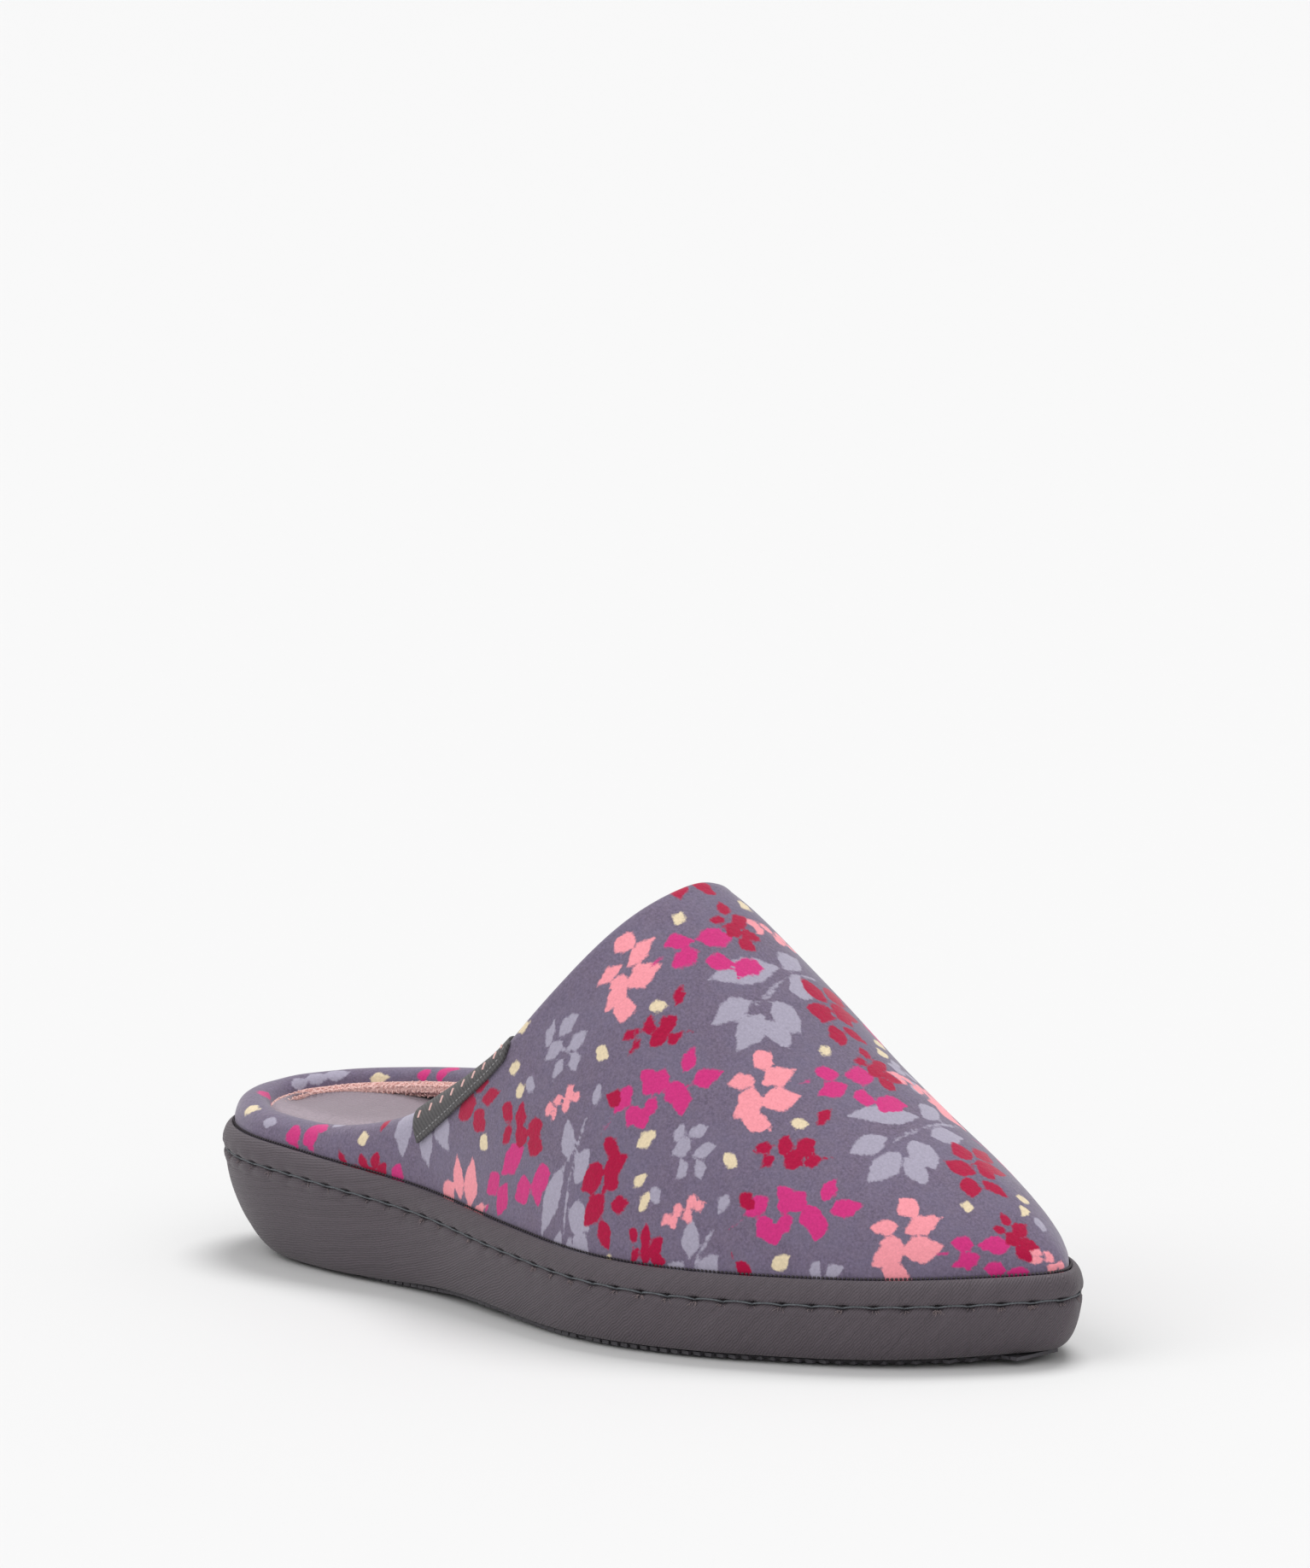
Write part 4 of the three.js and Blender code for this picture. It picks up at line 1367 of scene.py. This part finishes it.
def tab_edge(obj):
    """The tab's long outer edge, from its low end up, as points."""
    bm = bmesh.new()
    bm.from_mesh(obj.data)
    bm.normal_update()
    sharp = math.radians(TAB_SHARP)
    links = neighbours(e for e in bm.edges if e.is_manifold and e.calc_face_angle() > sharp)
    chains = []
    todo = {v for v in links if len(links[v]) == 2}
    corners = {v for v in todo if is_corner(v, links[v])} | {v for v in links if len(links[v]) != 2}
    for corner in corners:
        for step in links[corner]:
            chain = [corner, step]
            while chain[-1] not in corners:
                chain.append(next(v for v in links[chain[-1]] if v is not chain[-2]))
            chains.append([v.co.copy() for v in chain])
    reach = [run_length(chain) for chain in chains]
    long = [chain for chain, size in zip(chains, reach) if size > 0.75 * max(reach)]
    outer = min(long, key=lambda chain: sum(p.y for p in chain) / len(chain))
    bm.free()
    return outer if outer[0].z < outer[-1].z else outer[::-1]


def is_corner(vert, ends):
    before, after = (vert.co - ends[0].co), (ends[1].co - vert.co)
    return before.angle(after, 0) > math.radians(45)


def along_edge(line, distance):
    """Point at a distance along a line of points, and the way the line runs there."""
    for a, b in zip(line, line[1:]):
        step = (b - a).length
        if distance <= step:
            return a.lerp(b, distance / step), (b - a).normalized()
        distance -= step
    return line[-1], (line[-1] - line[-2]).normalized()


def walk_up(obj, start, way, distance):
    """Walks over the tab's face from its edge, square to it, and returns point and normal."""
    _, here, normal, _ = obj.closest_point_on_mesh(start)
    for _ in range(WALK_STEPS):
        across = way.cross(normal)
        if across.z < 0:
            across = -across
        ahead = here + across.normalized() * distance / WALK_STEPS
        _, here, normal, _ = obj.closest_point_on_mesh(ahead)
    return here, normal


class SLIPPER_OT_tab(bpy.types.Operator):
    """Makes the woven tab, its topstitch and a row of plain dashes in place of lettering"""

    bl_idname = "slipper.tab"
    bl_label = "Woven tab"

    def execute(self, context):
        sizes, colours = context.scene.slipper_sizes, context.scene.slipper_colours
        tab = copy_node("label", "woven_tab")
        edge = tab_edge(tab)
        apply(tab, "BEVEL", width=TAB_BEVEL, segments=2, angle_limit=math.radians(TAB_SHARP))
        subdivide(tab, 2)
        smooth(tab)
        f = Finish("woven_tape")
        at = f.object()
        weave = f.node(
            "TexWave",
            {"Vector": at, "Scale": 420.0, "Distortion": 0.5},
            bands_direction="DIAGONAL",
        ).outputs["Fac"]
        fibre = f.noise(at, 0.0004, 2)
        out = f.tone(weave, 0.1, 0.9, colours.tape, 0.75, 1.25)
        out = f.mix(f.span(fibre, 0.4, 0.75, 0, 0.4), out, shade(colours.tape, 1.6))
        height = f.math("ADD", weave, fibre)
        f.set(Base_Color=out, Roughness=0.8, Sheen_Weight=0.1, Normal=f.bump(height, 0.4, 0.0002))
        dress(tab, f.material, "woven_tape", "label")
        whole = run_length(edge)
        stitches = []
        for n in range(1, int(whole / sizes.topstitch)):
            ends = []
            for shift in (-0.25, 0.25):
                start, way = along_edge(edge, (n + shift) * sizes.topstitch)
                here, normal = walk_up(tab, start, way, TOPSTITCH_IN)
                ends.append(here + normal * 0.00002)
            stitches.append(ends)
        self.marks("tab_topstitch", stitches, TOPSTITCH_THREAD, TOPSTITCH_COLOUR)
        dashes = []
        for n in range(DASHES):
            share = (n + 0.7) / DASHES
            start, way = along_edge(edge, share * whole)
            middle = DASH_IN + DASH_CORNER * (1 - share) ** 2
            bar = []
            for up in (-1, 0, 1):
                here, normal = walk_up(tab, start, way, middle + up * DASH_HALF)
                bar.append(here + way * up * 0.0004 - normal * 0.00012)
            dashes.append(bar)
        self.marks("tab_dashes", dashes, DASH_THREAD, DASH_COLOUR)
        return {"FINISHED"}

    def marks(self, name, lines, radius, code):
        obj = tubes(name, lines, radius)
        f = Finish(name)
        f.set(Base_Color=rgba(hexed(code)), Roughness=0.75)
        dress(obj, f.material, "woven_tape")


# Studio

FLOOR_SIZE = 90
SKY_STRENGTH = 0.58

# Lights: name, the way they stand, spread in degrees and strength
LIGHTS = (
    ("key", (-0.5, -1.0, 1.1), 50, 0.8),
    ("fill", (1.0, -0.5, 0.6), 60, 0.35),
    ("top", (-0.15, 0.4, 1.0), 30, 1.6),
)

# Camera fitted to the photograph: place in millimetres, angles in degrees
CAMERA_AT = (1214.0, -1207.8, 341.9)
CAMERA_AZIMUTH = 44.87
CAMERA_ELEVATION = 7.39
CAMERA_ROLL = -1.01
FOCAL_PIXELS = 8805.8
LONG_SIDE_PIXELS = 1836


class SLIPPER_OT_studio(bpy.types.Operator):
    """Makes the floor, the lights and the camera at the photograph's angle"""

    bl_idname = "slipper.studio"
    bl_label = "Studio"

    def execute(self, context):
        scene = context.scene
        colours = scene.slipper_colours
        bpy.ops.object.select_all(action="DESELECT")
        bpy.ops.mesh.primitive_plane_add(size=FLOOR_SIZE)
        floor = context.object
        floor.name = floor.data.name = "floor"
        f = Finish("floor")
        f.set(Base_Color=(*colours.floor, 1), Roughness=0.9, Specular_IOR_Level=0.1)
        floor.data.materials.append(f.material)
        floor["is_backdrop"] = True
        world = bpy.data.worlds.new("studio")
        world.use_nodes = True
        sky = world.node_tree.nodes["Background"]
        sky.inputs["Color"].default_value = (1, 1, 1, 1)
        sky.inputs["Strength"].default_value = SKY_STRENGTH
        scene.world = world
        for name, way, spread, strength in LIGHTS:
            light = bpy.data.lights.new(name, "SUN")
            light.angle = math.radians(spread)
            light.energy = strength
            lamp = new_object(name, light)
            lamp.rotation_euler = Vector(way).to_track_quat("Z", "Y").to_euler()
        camera = new_object("camera", bpy.data.cameras.new("camera"))
        camera.data.lens = FOCAL_PIXELS / LONG_SIDE_PIXELS * camera.data.sensor_width
        camera.data.clip_start = 0.05
        camera.data.clip_end = 120
        a, e, r = (math.radians(v) for v in (CAMERA_AZIMUTH, CAMERA_ELEVATION, CAMERA_ROLL))
        back = Vector((math.sin(a) * math.cos(e), -math.cos(a) * math.cos(e), math.sin(e)))
        side = Vector((math.cos(a), math.sin(a), 0))
        up = back.cross(side)
        right = math.cos(r) * side + math.sin(r) * up
        over = -math.sin(r) * side + math.cos(r) * up
        turn = Matrix((right, over, back)).transposed()
        camera.matrix_world = Matrix.Translation(Vector(CAMERA_AT) * MM) @ turn.to_4x4()
        scene.camera = camera
        scene.view_settings.view_transform = "Standard"
        return {"FINISHED"}


class SLIPPER_PT_panel(bpy.types.Panel):
    """Lists the slipper's pieces, sizes and colours"""

    bl_label = "Scuff slipper"
    bl_idname = "SLIPPER_PT_panel"
    bl_space_type = "VIEW_3D"
    bl_region_type = "UI"
    bl_category = "Slipper"

    def draw(self, context):
        for operator in OPERATORS:
            self.layout.operator(operator.bl_idname)
        for group in (context.scene.slipper_sizes, context.scene.slipper_colours):
            for key in group.__annotations__:
                self.layout.prop(group, key)


OPERATORS = (
    SLIPPER_OT_upper,
    SLIPPER_OT_footbed,
    SLIPPER_OT_wedge,
    SLIPPER_OT_outsole,
    SLIPPER_OT_tab,
    SLIPPER_OT_studio,
)
GROUPS = (SlipperSizes, SlipperColours)


def register():
    for cls in (*GROUPS, *OPERATORS, SLIPPER_PT_panel):
        bpy.utils.register_class(cls)
    bpy.types.Scene.slipper_sizes = PointerProperty(type=SlipperSizes)
    bpy.types.Scene.slipper_colours = PointerProperty(type=SlipperColours)


def unregister():
    del bpy.types.Scene.slipper_colours
    del bpy.types.Scene.slipper_sizes
    for cls in (SLIPPER_PT_panel, *reversed(OPERATORS), *reversed(GROUPS)):
        bpy.utils.unregister_class(cls)


def main():
    register()
    bpy.ops.slipper.upper()
    bpy.ops.slipper.footbed()
    bpy.ops.slipper.wedge()
    bpy.ops.slipper.outsole()
    bpy.ops.slipper.tab()
    bpy.ops.slipper.studio()
    boxes = {"cad": CAD_BOX, "visual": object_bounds()}
    {key: [list(corner) for corner in box] for key, box in boxes.items()}


if __name__ == "__main__":
    main()
